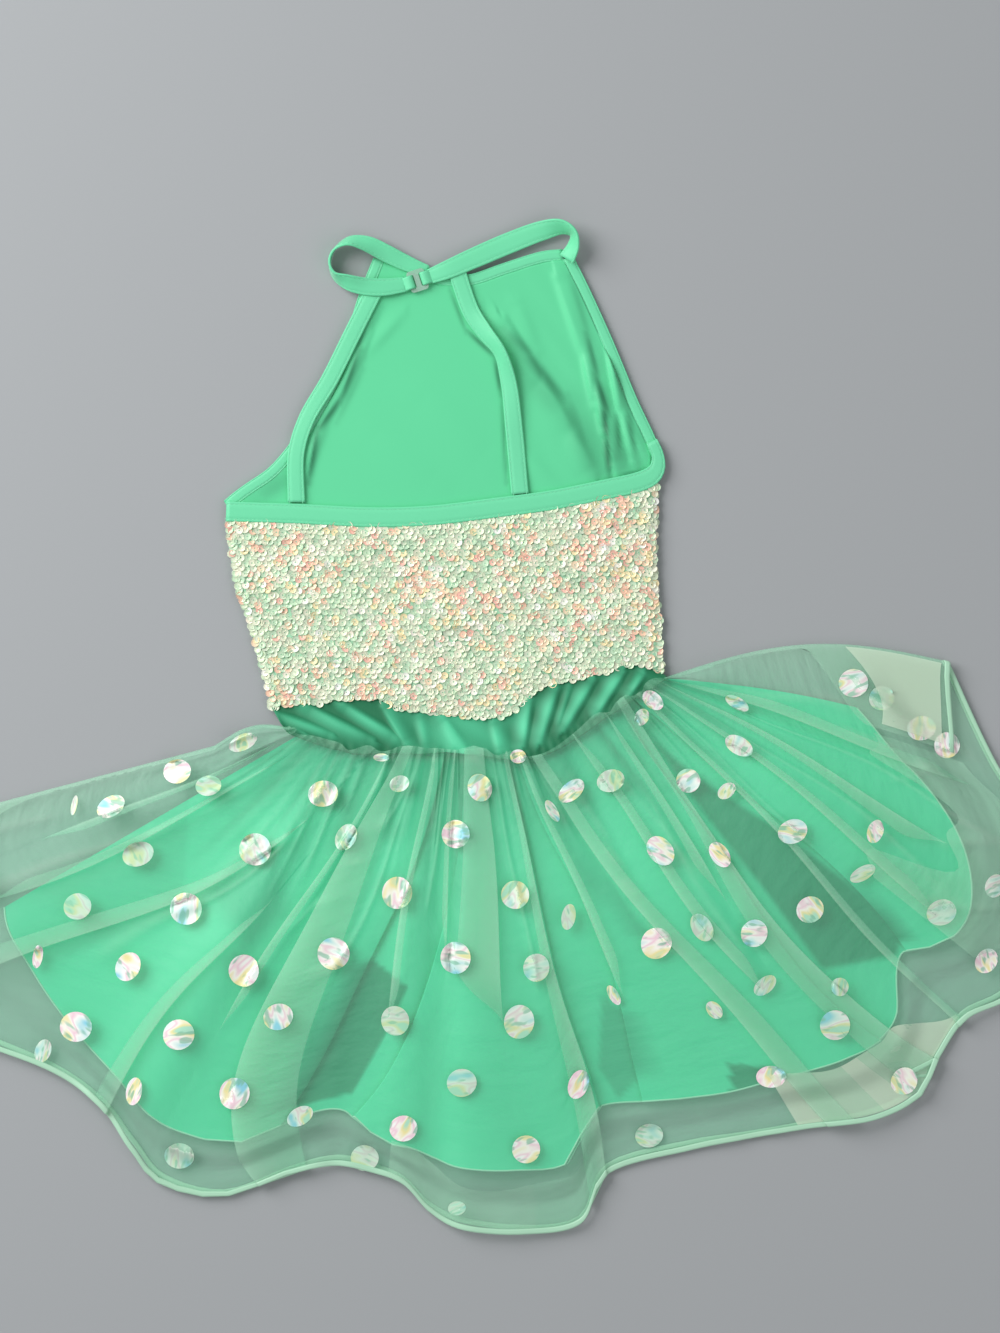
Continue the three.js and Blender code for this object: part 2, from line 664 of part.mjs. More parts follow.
// The four columns of a half-turn between two levels of a fold, bulging towards "side".
function halfTurn(at, side, fromLevel, toLevel, tucks) {
  const radius = (FOLD_PITCH * Math.abs(fromLevel - toLevel)) / 2;
  return [90, 30, -30, -90].map((degrees, i) => {
    const angle = THREE.MathUtils.degToRad(degrees);
    const level = (fromLevel + toLevel) / 2 + (Math.sin(angle) * (fromLevel - toLevel)) / 2;
    const nudge = side * radius * (Math.cos(angle) - 1);
    return { at, nudge, level, tuck: mix(tucks[0], tucks[1], i / 3) };
  });
}

// All columns of a sheet from its first row to its last: knife folds, and free cloth between them.
function sheetColumns(start, end, folds, step) {
  const anchors = [start];
  for (const fold of folds) {
    const { edge, hidden } = foldEdges(fold);
    const middle = (share) => mix(hidden(share), edge(share), 0.5);
    const plain = (at, nudge, level) => ({ at, nudge, level, tuck: 1 });
    if (fold.faces === "right") {
      anchors.push([
        plain(hidden, -FOLD_MARGIN, 2),
        plain(middle, 0, 2),
        ...halfTurn(edge, 1, 2, 1, [1, 1]),
        ...halfTurn(hidden, -1, 1, 0, [fold.tuck, fold.tuck]),
        plain(middle, 0, 0),
        plain(edge, FOLD_MARGIN, 0),
      ]);
    } else {
      anchors.push([
        plain(edge, -FOLD_MARGIN, 0),
        plain(middle, 0, 0),
        ...halfTurn(hidden, 1, 0, 1, [fold.tuck, fold.tuck]),
        ...halfTurn(edge, -1, 1, 2, [1, 1]),
        plain(middle, 0, 2),
        plain(hidden, FOLD_MARGIN, 2),
      ]);
    }
  }
  anchors.push(end);
  const columns = [...anchors[0]];
  for (const anchor of anchors.slice(1)) {
    const from = columns.at(-1);
    const to = anchor[0];
    const count = Math.max(1, Math.round((to.at(0.5) - from.at(0.5)) / step));
    for (let i = 1; i < count; i += 1) {
      const share = i / count;
      columns.push({
        at: (s) => mix(from.at(s), to.at(s), share),
        nudge: mix(from.nudge, to.nudge, share),
        level: mix(from.level, to.level, share),
        tuck: 1,
      });
    }
    columns.push(...anchor);
  }
  return columns;
}

// One end of the upper overskirt: its edge turned over on top, as the first or the last columns.
function flapColumns(row, flap, side) {
  const depth = (share) => flap.depth * smooth(share, flap.from, flap.to);
  const free = (reach) => ({
    at: (share) => row + side * depth(share) * reach,
    nudge: side * FLAP_LEAST,
    level: FLAP_LEVEL,
    tuck: mix(1, flap.tuck, reach),
  });
  const turn = halfTurn(() => row, -side, FLAP_LEVEL, 0, [1, 1]);
  const columns = [free(1), free(0.6), free(0.25), ...turn];
  return side > 0 ? columns : columns.reverse();
}

// The point of a column at a share of the length. Near the hem the turns of a fold keep one direction.
function columnPoint(column, share, heightAt) {
  const reached = share * mix(1, column.tuck, share);
  const at = column.at(reached);
  const point = fanPoint(at, reached);
  const level = Math.min(reached, NUDGE_REACH);
  const aside = fanPoint(at + 0.05, level).sub(fanPoint(at - 0.05, level)).normalize();
  point.addScaledVector(aside, column.nudge);
  point.z = heightAt(at, reached) + column.level * FOLD_PITCH;
  return point;
}

// Grid of a skirt sheet.
function skirtGrid(columns, rows, shareOf, heightAt) {
  return rows.map((row) => columns.map((column) => columnPoint(column, shareOf(row, column.at), heightAt)));
}
const fanLength = (at) => fanPoint(at(1), 1).distanceTo(fanPoint(at(1), 0));
const bodyShare = (row, at) => {
  const under = columnAt(FAN, "under", at(UNDER_REACH));
  const beyond = (row - UNDER_ROW) / (1 - UNDER_ROW);
  const share = row < UNDER_ROW ? (under * row) / UNDER_ROW : mix(under, 1, beyond);
  return share * (1 - (HEM_EDGING_WIDTH + 2 * SEAM_GAP) / fanLength(at));
};
const edgingShare = (row, at) => 1 - ((1 - row) * HEM_EDGING_WIDTH) / fanLength(at);

// Upper layers of the skirt, which carry the folds
const plainColumn = (row, level) => ({ at: () => row, nudge: 0, level, tuck: 1 });
const overskirtColumns = sheetColumns(
  flapColumns(0, FLAP_LEFT, 1),
  flapColumns(FAN_END, FLAP_RIGHT, -1),
  OVERSKIRT_FOLDS,
  OVERSKIRT_STEP,
);
function overskirtHeight(at, share) {
  const under = columnAt(FAN, "under", at);
  const beyond = smooth(share, mix(under, 1, 0.18), mix(under, 1, 0.55));
  const left = smooth(at, 0.2, UNDERSKIRT_START - 0.2);
  const right = smooth(-at, 0.1 - FAN_END, -UNDERSKIRT_END - 0.1);
  const side = mix(1, Math.min(left, right), smooth(share, 0.1, 0.35));
  const bed = mix(OVERSKIRT_OUTER_Z, OVERSKIRT_BACK_Z, side * (1 - beyond));
  const wave = 0.5 - 0.5 * Math.cos((2 * Math.PI * GATHERS * at) / FAN_END);
  const gather = GATHER_HEIGHT * wave * (1 - smooth(share, GATHERS_START, GATHERS_END));
  return bed + gather + upperRelief(at, share);
}
const overskirt = skirtGrid(overskirtColumns, OVERSKIRT_ROWS, bodyShare, overskirtHeight);
addPiece("overskirt_back", clothWall(overskirt, SKIRT_WALL), MATERIALS.overskirt);
const edging = skirtGrid(overskirtColumns, [0, 1], edgingShare, overskirtHeight);
addPiece("hem_edging_back", clothWall(edging, HEM_EDGING_WALL), MATERIALS.edging);

const underskirtColumns = sheetColumns(
  [plainColumn(UNDERSKIRT_START, 0)],
  [plainColumn(UNDERSKIRT_END, 0)],
  UNDERSKIRT_FOLDS,
  UNDERSKIRT_STEP,
);
const underskirtHeight = (at, share) => UNDERSKIRT_BACK_Z + upperRelief(at, share);
const underShare = (row, at) => row * columnAt(FAN, "under", at(UNDER_REACH));
const underskirt = skirtGrid(underskirtColumns, UNDERSKIRT_ROWS, underShare, underskirtHeight);
addPiece("underskirt_back", clothWall(underskirt, SKIRT_WALL), MATERIALS.underskirt);

// Lower layers, which lie flat on the floor
function flatColumns(start, end) {
  const count = Math.round((end - start) / LOWER_STEP);
  return Array.from({ length: count + 1 }, (_, i) => plainColumn(mix(start, end, i / count), 0));
}
const frontShare = (at) => FRONT_SHORTER + FRONT_WANDER * Math.sin(FRONT_WANDER_RATE * at(1));
const overFront = skirtGrid(
  flatColumns(0, FAN_END),
  LOWER_ROWS,
  (row, at) => row * (frontShare(at) - (HEM_EDGING_WIDTH + SEAM_GAP) / fanLength(at)),
  () => OVERSKIRT_FRONT_Z,
);
addPiece("overskirt_front", clothWall(overFront, SKIRT_WALL), MATERIALS.overskirt);
const edgingFront = skirtGrid(
  flatColumns(0, FAN_END),
  [0, 1],
  (row, at) => frontShare(at) - ((1 - row) * HEM_EDGING_WIDTH) / fanLength(at),
  () => HEM_EDGING_WALL / 2,
);
addPiece("hem_edging_front", clothWall(edgingFront, HEM_EDGING_WALL), MATERIALS.edging);
const underFront = skirtGrid(
  flatColumns(UNDERSKIRT_START, UNDERSKIRT_END),
  LOWER_ROWS,
  (row, at) => underShare(row, at) * FRONT_SHORTER,
  () => UNDERSKIRT_FRONT_Z,
);
addPiece("underskirt_front", clothWall(underFront, SKIRT_WALL), MATERIALS.underskirt);

// The part's origin is the middle of its footprint, on the floor.
const box = new THREE.Box3().setFromObject(costume);
const middle = box.getCenter(new THREE.Vector3());
costume.position.set(-middle.x, -middle.y, -box.min.z);

export default costume;
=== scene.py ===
"""A child's halter dance costume, laid flat on a floor with its open back uppermost.

Lengths in the tables are millimetres from the middle of the waist seam: X across, Y towards the neck, Z up.
"""

import json
import math

import bpy
import numpy as np
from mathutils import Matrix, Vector
from mathutils.bvhtree import BVHTree


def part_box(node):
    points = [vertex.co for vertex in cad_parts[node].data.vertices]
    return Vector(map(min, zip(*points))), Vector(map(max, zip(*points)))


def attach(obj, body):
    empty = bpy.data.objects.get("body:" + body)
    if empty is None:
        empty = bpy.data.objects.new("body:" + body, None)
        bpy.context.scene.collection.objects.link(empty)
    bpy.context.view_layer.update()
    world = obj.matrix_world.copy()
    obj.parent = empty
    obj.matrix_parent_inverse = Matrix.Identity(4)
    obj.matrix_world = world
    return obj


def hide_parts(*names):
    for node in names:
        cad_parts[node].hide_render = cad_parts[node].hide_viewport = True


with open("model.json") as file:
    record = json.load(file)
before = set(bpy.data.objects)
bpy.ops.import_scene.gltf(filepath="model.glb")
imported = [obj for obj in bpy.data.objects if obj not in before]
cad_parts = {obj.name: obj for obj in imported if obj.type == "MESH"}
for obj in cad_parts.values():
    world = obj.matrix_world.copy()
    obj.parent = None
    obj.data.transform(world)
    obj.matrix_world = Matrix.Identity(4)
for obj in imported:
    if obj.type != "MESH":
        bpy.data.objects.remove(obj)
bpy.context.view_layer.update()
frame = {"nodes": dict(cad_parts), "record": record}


# Camera: straight above the floor, as the photograph was taken, and far enough back to keep heights from
# spreading. The tables' origin in the row's frame is found from the closure hook, which lies at HOOK_CENTRE
# in the tables.
HOOK_CENTRE = (-31.4, 281.3)
hook_low, hook_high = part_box("closure_hook")
SHIFT = np.array([(hook_low[i] + hook_high[i]) * 500 - HOOK_CENTRE[i] for i in (0, 1)] + [0.0])
# The place under the lens in table millimetres, the long side of the picture on the floor and the lens height
# in metres.
AIM = (18.0, 50.1)
FRAME_HEIGHT = 0.7998
CAMERA_HEIGHT = 2.4
camera = bpy.data.objects.new("camera", bpy.data.cameras.new("camera"))
camera.location = ((AIM[0] + SHIFT[0]) / 1000, (AIM[1] + SHIFT[1]) / 1000, CAMERA_HEIGHT)
camera.data.lens = camera.data.sensor_width * CAMERA_HEIGHT / FRAME_HEIGHT
bpy.context.scene.collection.objects.link(camera)
bpy.context.scene.camera = camera
bpy.context.scene.view_settings.view_transform = "Standard"
# Light passes many layers of organza before it reaches the floor.
bpy.context.scene.cycles.transparent_max_bounces = 32
bpy.context.scene.cycles.max_bounces = 10


# Studio: a plain pale floor just under the garment, one large soft light high on the left, a weaker one on
# the right and a dim even sky, so that the folds are shaded as in the photograph.
def linear(colour):
    """Linear RGBA of an sRGB hex colour."""
    channels = [int(colour[i : i + 2], 16) / 255 for i in (1, 3, 5)]
    return [c / 12.92 if c <= 0.04045 else ((c + 0.055) / 1.055) ** 2.4 for c in channels] + [1.0]


def add_node(tree, kind, inputs=(), **settings):
    """A shader node with its settings, and its sockets set to values or linked to other sockets."""
    made = tree.nodes.new(kind)
    for key, value in settings.items():
        setattr(made, key, value)
    for key, value in dict(inputs).items():
        if isinstance(value, bpy.types.NodeSocket):
            tree.links.new(value, made.inputs[key])
        else:
            made.inputs[key].default_value = value
    return made


def new_material(name):
    """An empty material, its node tree and its output."""
    made = bpy.data.materials.new(name)
    made.use_nodes = True
    made.node_tree.nodes.clear()
    output = made.node_tree.nodes.new("ShaderNodeOutputMaterial")
    return made, made.node_tree, output


def finish_material(tree, output, shader):
    """Joins the shader to the material's output."""
    tree.links.new(shader.outputs[0], output.inputs["Surface"])


# The floor is painted board, rolled on matt, so it is even and has no gloss.
floor_material, tree, output = new_material("painted_board_matt")
shader = add_node(tree, "ShaderNodeBsdfPrincipled", {"Base Color": linear("#A3A6A8"), "Roughness": 0.85})
finish_material(tree, output, shader)
FLOOR_HALF = 5.0
FLOOR_DROP = 0.0004
floor_mesh = bpy.data.meshes.new("floor")
floor_corners = [(FLOOR_HALF * x, FLOOR_HALF * y, 0) for x, y in ((-1, -1), (1, -1), (1, 1), (-1, 1))]
floor_mesh.from_pydata(floor_corners, [], [(0, 1, 2, 3)])
floor = bpy.data.objects.new("floor", floor_mesh)
floor.location.z = -FLOOR_DROP
floor_mesh.materials.append(floor_material)
bpy.context.scene.collection.objects.link(floor)

# Each lamp's place and width in metres, and its power in watts.
for light_name, place, size, power in (
    ("key_light", (-1.5, 1.0, 1.3), 1.6, 52.0),
    ("fill_light", (1.3, -0.8, 1.7), 1.6, 8.0),
):
    lamp = bpy.data.lights.new(light_name, "AREA")
    lamp.size = size
    lamp.energy = power
    light = bpy.data.objects.new(light_name, lamp)
    light.location = place
    light.rotation_euler = (-Vector(place)).to_track_quat("-Z", "Y").to_euler()
    bpy.context.scene.collection.objects.link(light)
world = bpy.data.worlds.new("studio")
world.use_nodes = True
world.node_tree.nodes["Background"].inputs["Color"].default_value = linear("#F4F6F8")
world.node_tree.nodes["Background"].inputs["Strength"].default_value = 0.42
bpy.context.scene.world = world


# Front of the bodice: one layer of stretch mesh sewn all over with cup sequins, cut as a halter. It lies face
# down on the floor, so its sequins are on the underside. It is sewn to the lining at the neck, the armholes
# and the sides.
def curve(points, places, measured=2):
    """A smooth curve through the points, read at shares of its length, which is measured in its first columns."""
    points = np.asarray(points, float)
    ends = np.vstack([2 * points[0] - points[1], points, 2 * points[-1] - points[-2]])
    fine = []
    t = np.linspace(0, 1, 24, endpoint=False)[:, None]
    for p0, p1, p2, p3 in zip(ends, ends[1:], ends[2:], ends[3:]):
        d0, d1, d2 = (
            max(np.linalg.norm((b - a)[:measured]) ** 0.5, 1e-4) for a, b in ((p0, p1), (p1, p2), (p2, p3))
        )
        leave = ((p1 - p0) / d0 - (p2 - p0) / (d0 + d1) + (p2 - p1) / d1) * d1
        arrive = ((p2 - p1) / d1 - (p3 - p1) / (d1 + d2) + (p3 - p2) / d2) * d1
        bend = 3 * (p2 - p1) - 2 * leave - arrive
        fine.append(p1 + leave * t + bend * t**2 + (2 * (p1 - p2) + leave + arrive) * t**3)
    fine = np.vstack(fine + [points[-1:]])
    steps = np.linalg.norm(np.diff(fine[:, :measured], axis=0), axis=1)
    along = np.concatenate([[0], np.cumsum(steps)])
    at = np.asarray(places) * along[-1]
    return np.stack([np.interp(at, along, fine[:, k]) for k in range(fine.shape[1])], -1)


def panel(top, bottom, left, right, u, v):
    """Flat points spanned between four outlines, one row for each value of v, and the u and v of each."""
    t, b, l, r = curve(top, u), curve(bottom, u), curve(left, v), curve(right, v)
    u, v = np.meshgrid(u, v)
    a, c = u[..., None], v[..., None]
    points = t[None] * (1 - c) + b[None] * c + l[:, None] * (1 - a) + r[:, None] * a
    points -= (t[0] * (1 - a) + t[-1] * a) * (1 - c) + (b[0] * (1 - a) + b[-1] * a) * c
    return points[..., 0], points[..., 1], u, v


def build(name, points, faces, material, uv=None, attributes=(), smooth_shading=True):
    """An object from points in table millimetres. uv and the attributes have one value for each point."""
    mesh = bpy.data.meshes.new(name)
    points = (np.asarray(points, float).reshape(-1, 3) + SHIFT) / 1000
    faces = np.asarray(faces, np.int32)
    sides = faces.shape[1]
    mesh.vertices.add(len(points))
    mesh.vertices.foreach_set("co", points.astype(np.float32).ravel())
    mesh.loops.add(faces.size)
    mesh.loops.foreach_set("vertex_index", faces.ravel())
    mesh.polygons.add(len(faces))
    mesh.polygons.foreach_set("loop_start", np.arange(0, faces.size, sides, dtype=np.int32))
    mesh.polygons.foreach_set("loop_total", np.full(len(faces), sides, np.int32))
    mesh.polygons.foreach_set("use_smooth", np.full(len(faces), smooth_shading))
    mesh.update(calc_edges=True)
    if uv is not None:
        layer = mesh.uv_layers.new(name="UVMap")
        layer.data.foreach_set("uv", np.asarray(uv, np.float32).reshape(-1, 2)[faces.ravel()].ravel())
    for key, values in dict(attributes).items():
        values = np.asarray(values, np.float32)
        kind = "FLOAT_COLOR" if values.ndim > 1 else "FLOAT"
        attribute = mesh.attributes.new(key, kind, "POINT")
        attribute.data.foreach_set("color" if values.ndim > 1 else "value", values.ravel())
    mesh.materials.append(material)
    made = bpy.data.objects.new(name, mesh)
    bpy.context.scene.collection.objects.link(made)
    return made


def grid_faces(rows, columns):
    """Quads of a grid that face up where rows run towards the hem and columns to the right."""
    start = (np.arange(rows - 1)[:, None] * columns + np.arange(columns - 1)).ravel()
    return np.stack([start, start + columns, start + columns + 1, start + 1], -1)


def normals(grid):
    """Unit directions out of the upper side of a grid of points."""
    across, along = np.gradient(grid, axis=1), np.gradient(grid, axis=0)
    up = np.cross(along, across)
    return up / np.maximum(np.linalg.norm(up, axis=2), 1e-9)[..., None]


def shell_object(name, grid, wall, material, uv, attributes=()):
    """A closed sheet of the given wall round a grid of points."""
    rows, columns = grid.shape[:2]
    up = normals(grid) * wall / 2
    points = np.concatenate([(grid + up).reshape(-1, 3), (grid - up).reshape(-1, 3)])
    layer = rows * columns
    faces = grid_faces(rows, columns)
    index = np.arange(layer).reshape(rows, columns)
    rim = np.concatenate([index[0, ::-1], index[1:, 0], index[-1, 1:], index[-2::-1, -1]])
    rim_faces = np.stack([rim[1:], rim[:-1], rim[:-1] + layer, rim[1:] + layer], -1)
    faces = np.concatenate([faces, faces[:, ::-1] + layer, rim_faces])
    both = {key: np.concatenate([np.ravel(values)] * 2) for key, values in dict(attributes).items()}
    return build(name, points, faces, material, np.concatenate([np.reshape(uv, (-1, 2))] * 2), both)


def dress(piece, slot, *nodes):
    """The piece rides on the part's one body and stands for these nodes, which it hides. slot is not used."""
    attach(piece, "root")
    if nodes:
        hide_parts(*nodes)
    return piece


# The ground is knitted stretch mesh, dyed mint: matt, and seen only as green specks between the sequins.
ground, tree, output = new_material("sequin_ground_mesh")
shader = add_node(tree, "ShaderNodeBsdfPrincipled", {"Base Color": linear("#A9DDB8"), "Roughness": 0.7})
finish_material(tree, output, shader)

# The outlines run from the neck down on the sides, and from left to right along the neck and the bottom edge.
NECKLINE = [(-52, 293), (-39, 289), (-20, 280), (0, 279), (22, 286), (45, 293), (56, 294)]
LEFT_ARMHOLE = [
    (-52, 293),
    (-61, 270),
    (-68, 247),
    (-80, 217),
    (-98, 187),
    (-116, 165),
    (-130, 155),
    (-137, 150),
]
RIGHT_ARMHOLE = [(56, 294), (65, 276), (80, 243), (95, 207), (104, 188), (109, 176)]
LEFT_SIDE = [(-145, 136), (-140, 99), (-134, 81), (-125, 51), (-119, 26)]
RIGHT_SIDE = [(112, 158), (111, 114), (114, 75), (115, 47)]
FRONT_BOTTOM = [(-119, 26), (-60, 22), (0, 24), (60, 34), (115, 47)]
FRONT_GROUND_Z = 1.05
FRONT_GROUND_WALL = 0.5
x, y, u, v = panel(
    NECKLINE,
    FRONT_BOTTOM,
    LEFT_ARMHOLE + LEFT_SIDE,
    RIGHT_ARMHOLE + RIGHT_SIDE,
    np.linspace(0, 1, 60),
    np.linspace(0, 1, 70),
)
front_grid = np.stack([x, y, np.full_like(x, FRONT_GROUND_Z)], -1)
front_panel = shell_object("front_sequin_cloth", front_grid, FRONT_GROUND_WALL, ground, np.stack([x, y], -1))
dress(front_panel, "sequin_cloth", "front_panel")

# Sequins are punched and cupped from translucent polyester film with a thin iridescent coat: a pale body, each
# with a tint of its own, and painted glints: coral, cream and white tints for the light that some of them
# catch. The coat's thickness is in nanometres.
film, tree, output = new_material("iridescent_sequin_film")
tint = add_node(tree, "ShaderNodeVertexColor", layer_name="tint")
shader = add_node(
    tree,
    "ShaderNodeBsdfPrincipled",
    {
        "Base Color": tint.outputs["Color"],
        "Roughness": 0.28,
        "IOR": 1.57,
        "Coat Weight": 0.6,
        "Coat Roughness": 0.12,
        "Thin Film Thickness": 420.0,
        "Thin Film IOR": 1.4,
    },
)
finish_material(tree, output, shader)

# A 5 mm cup sequin measures about 4.8 mm across its rim.
SEQUIN_RADIUS = 2.4
SEQUIN_TINTS = [linear(c)[:3] for c in ("#DCE9CC", "#CBE6C6", "#E6E8D0", "#C6E2C4", "#D6E2CA", "#E2ECD2")]
# Painted glints: the share of sequins that get them anywhere, and their tints, for light that a sequin catches.
PLAIN_SHINE = 0.2
GLINT_TINTS = [linear(c)[:3] for c in ("#F9CDB4", "#FBDFC0", "#F8E6B8", "#FAC4B4", "#FFFBEF", "#FFF6E2")]


def scatter(name, shape, shape_faces, places, axes, material, attributes=(), smooth_shading=True):
    """Many copies of a small shape in one mesh. axes holds each copy's directions, with its size."""
    points = places[:, None] + np.einsum("kj,njc->nkc", shape, axes)
    offset = (np.arange(len(places)) * len(shape))[:, None, None]
    faces = (np.asarray(shape_faces)[None] + offset).reshape(-1, len(shape_faces[0]))
    spread = {key: np.repeat(values, len(shape), axis=0) for key, values in dict(attributes).items()}
    return build(name, points, faces, material, None, spread, smooth_shading)


def sequin_cup(sides, rings):
    """A cup with a hole in its middle, of radius 1, and its faces."""
    angles = np.arange(sides) * 2 * np.pi / sides
    shape = np.array([(r * math.cos(a), r * math.sin(a), z) for r, z in rings for a in angles])
    faces = [
        (sides * i + k, sides * (i + 1) + k, sides * (i + 1) + (k + 1) % sides, sides * i + (k + 1) % sides)
        for i in range(len(rings) - 1)
        for k in range(sides)
    ]
    return shape, faces


def staggered(x_range, y_range, pitch_x, pitch_y):
    """Rows of places, every second one moved by half a pitch."""
    places = []
    for row, y_place in enumerate(np.arange(*y_range, pitch_y)):
        for x_place in np.arange(x_range[0] + (row % 2) * pitch_x / 2, x_range[1], pitch_x):
            places.append((x_place, y_place))
    return np.array(places)


def inside(x, y, outline):
    """Which points lie inside a closed outline."""
    outline = np.asarray(outline, float)
    found = np.zeros(np.shape(x), bool)
    for (x1, y1), (x2, y2) in zip(outline, np.roll(outline, -1, axis=0)):
        if y1 != y2:
            crossing = x1 + (y - y1) / (y2 - y1) * (x2 - x1)
            found ^= ((y1 > y) != (y2 > y)) & (x < crossing)
    return found


def sequin_layer(name, places, height, slope, lean, down, sides, rings, glints, seed):
    """Overlapping cup sequins on a surface given by its height and slope. Painted glints gather in places."""
    rng = np.random.default_rng(seed)
    n = len(places)
    z = height(places[:, 0], places[:, 1])
    tilt = np.clip(rng.normal(0, lean, (n, 2)), -2 * lean, 2 * lean)
    up = np.stack([tilt[:, 0] - slope(places, 0), tilt[:, 1] - slope(places, 1) + 0.7 * lean, np.ones(n)], -1)
    up /= np.linalg.norm(up, axis=1)[:, None]
    turn = rng.uniform(0, 2 * np.pi, n)
    first = np.stack([np.cos(turn), np.sin(turn), np.zeros(n)], -1)
    first -= up * np.sum(first * up, axis=1)[:, None]
    first /= np.linalg.norm(first, axis=1)[:, None]
    second = np.cross(up, first)
    radius = SEQUIN_RADIUS * rng.uniform(0.9, 1.05, n)[:, None, None]
    axes = np.stack([first, second, up * (-1 if down else 1)], 1) * radius
    tints = np.array(SEQUIN_TINTS)[rng.integers(0, len(SEQUIN_TINTS), n)]
    shine = np.full(n, PLAIN_SHINE)
    for gx, gy, reach, weight in glints:
        shine += weight * np.exp(-((places[:, 0] - gx) ** 2 + (places[:, 1] - gy) ** 2) / reach**2)
    chosen = rng.uniform(0, 1, n) < shine
    tints[chosen] = np.array(GLINT_TINTS)[rng.integers(0, len(GLINT_TINTS), chosen.sum())]
    tints *= rng.uniform(0.95, 1.12, n)[:, None]
    tints = np.concatenate([np.clip(tints, 0, 1), np.ones((n, 1))], 1)
    shape, faces = sequin_cup(sides, rings)
    centres = np.concatenate([places, z[:, None]], 1)
    return scatter(name, shape, faces, centres, axes, film, {"tint": tints}, False)


front_edge = np.vstack(
    [
        curve(NECKLINE, np.linspace(0, 1, 20)),
        curve(RIGHT_ARMHOLE + RIGHT_SIDE, np.linspace(0, 1, 60)),
        curve(FRONT_BOTTOM, np.linspace(1, 0, 20)),
        curve(LEFT_ARMHOLE + LEFT_SIDE, np.linspace(1, 0, 60)),
    ]
)
FRONT_PITCH = (4.5, 3.9)
FRONT_SEQUIN_Z = 0.42
FRONT_LEAN = 0.03
FLAT_CUP = ((0.18, 0.0), (1.0, 0.1))
rng = np.random.default_rng(11)
front_places = staggered((-150, 118), (20, 296), *FRONT_PITCH)
front_places += rng.normal(0, 0.35, front_places.shape)
front_places = front_places[inside(front_places[:, 0], front_places[:, 1], front_edge)]
front_sequins = sequin_layer(
    "front_sequins",
    front_places,
    lambda x, y: np.full(len(x), FRONT_SEQUIN_Z),
    lambda places, axis: np.zeros(len(places)),
    lean=FRONT_LEAN,
    down=True,
    sides=8,
    rings=FLAT_CUP,
    glints=[],
    seed=5,
)
dress(front_sequins, "sequin_cloth")


# Front lining: mint tricot cut like the front and bagged out with it, seen through the open back. It is
# stretched flat on the left and lies in folds on the right, beside the armhole.
def smooth(value, low, high):
    """0 below low, 1 above high, and a smooth step between them."""
    t = np.clip((value - low) / (high - low), 0, 1)
    return t * t * (3 - 2 * t)


def moved(points, distance):
    """An outline moved sideways, to the left of its direction."""
    points = np.asarray(points, float)
    ahead = np.vstack([points[1:], points[-1:]]) - np.vstack([points[:1], points[:-1]])
    ahead /= np.linalg.norm(ahead[:, :2], axis=1)[:, None]
    aside = points.copy()
    aside[:, 0] -= ahead[:, 1] * distance
    aside[:, 1] += ahead[:, 0] * distance
    return aside


def ridges(table, x, y):
    """Height of a table's ridges. A row is x1, y1, x2, y2, height, and width to the left and the right."""
    height = np.zeros_like(x)
    for x1, y1, x2, y2, tall, left_wide, right_wide in table:
        dx, dy = x2 - x1, y2 - y1
        t = np.clip(((x - x1) * dx + (y - y1) * dy) / (dx * dx + dy * dy), 0, 1)
        wide = np.where(dx * (y - y1) - dy * (x - x1) > 0, left_wide, right_wide)
        away = np.hypot(x - x1 - t * dx, y - y1 - t * dy) / wide
        ends = np.sin(np.pi * np.clip(t, 0.08, 0.92)) ** 0.5
        height = np.maximum(height, tall * ends * np.exp(-away * away))
    return height


# The lining is warp-knitted tricot with its smooth side out: an even mint with a soft sheen, and painted shade
# deepens it in its creases. Its wales are 0.5 mm apart, as fine as the render can show, and give it a faint
# diagonal grain. A wave texture crosses a diagonal 10 times in 2 pi.
TRICOT_GRAIN = 0.494
tricot, tree, output = new_material("tricot_lining_knit")
cloth_uv = add_node(tree, "ShaderNodeUVMap")
grain = add_node(
    tree,
    "ShaderNodeTexWave",
    {
        "Vector": cloth_uv.outputs["UV"],
        "Scale": 2 * math.pi / (10 * math.sqrt(2) * TRICOT_GRAIN),
        "Distortion": 1.5,
        "Detail": 2.0,
    },
    bands_direction="DIAGONAL",
)
bump = add_node(tree, "ShaderNodeBump", {"Height": grain.outputs["Fac"], "Strength": 0.2, "Distance": 0.0001})
pressed = add_node(tree, "ShaderNodeAttribute", attribute_name="pressed")
tone = add_node(
    tree,
    "ShaderNodeMix",
    {"Factor": pressed.outputs["Fac"], "A": linear("#5CD59A"), "B": linear("#0B6B45")},
    data_type="RGBA",
)
shader = add_node(
    tree,
    "ShaderNodeBsdfPrincipled",
    {
        "Base Color": tone.outputs[2],
        "Roughness": 0.55,
        "Sheen Weight": 0.25,
        "Sheen Roughness": 0.5,
        "Normal": bump.outputs["Normal"],
    },
)
finish_material(tree, output, shader)

LINING_Z = 2.2
LINING_WALL = 0.5
LINING_INSET = 5
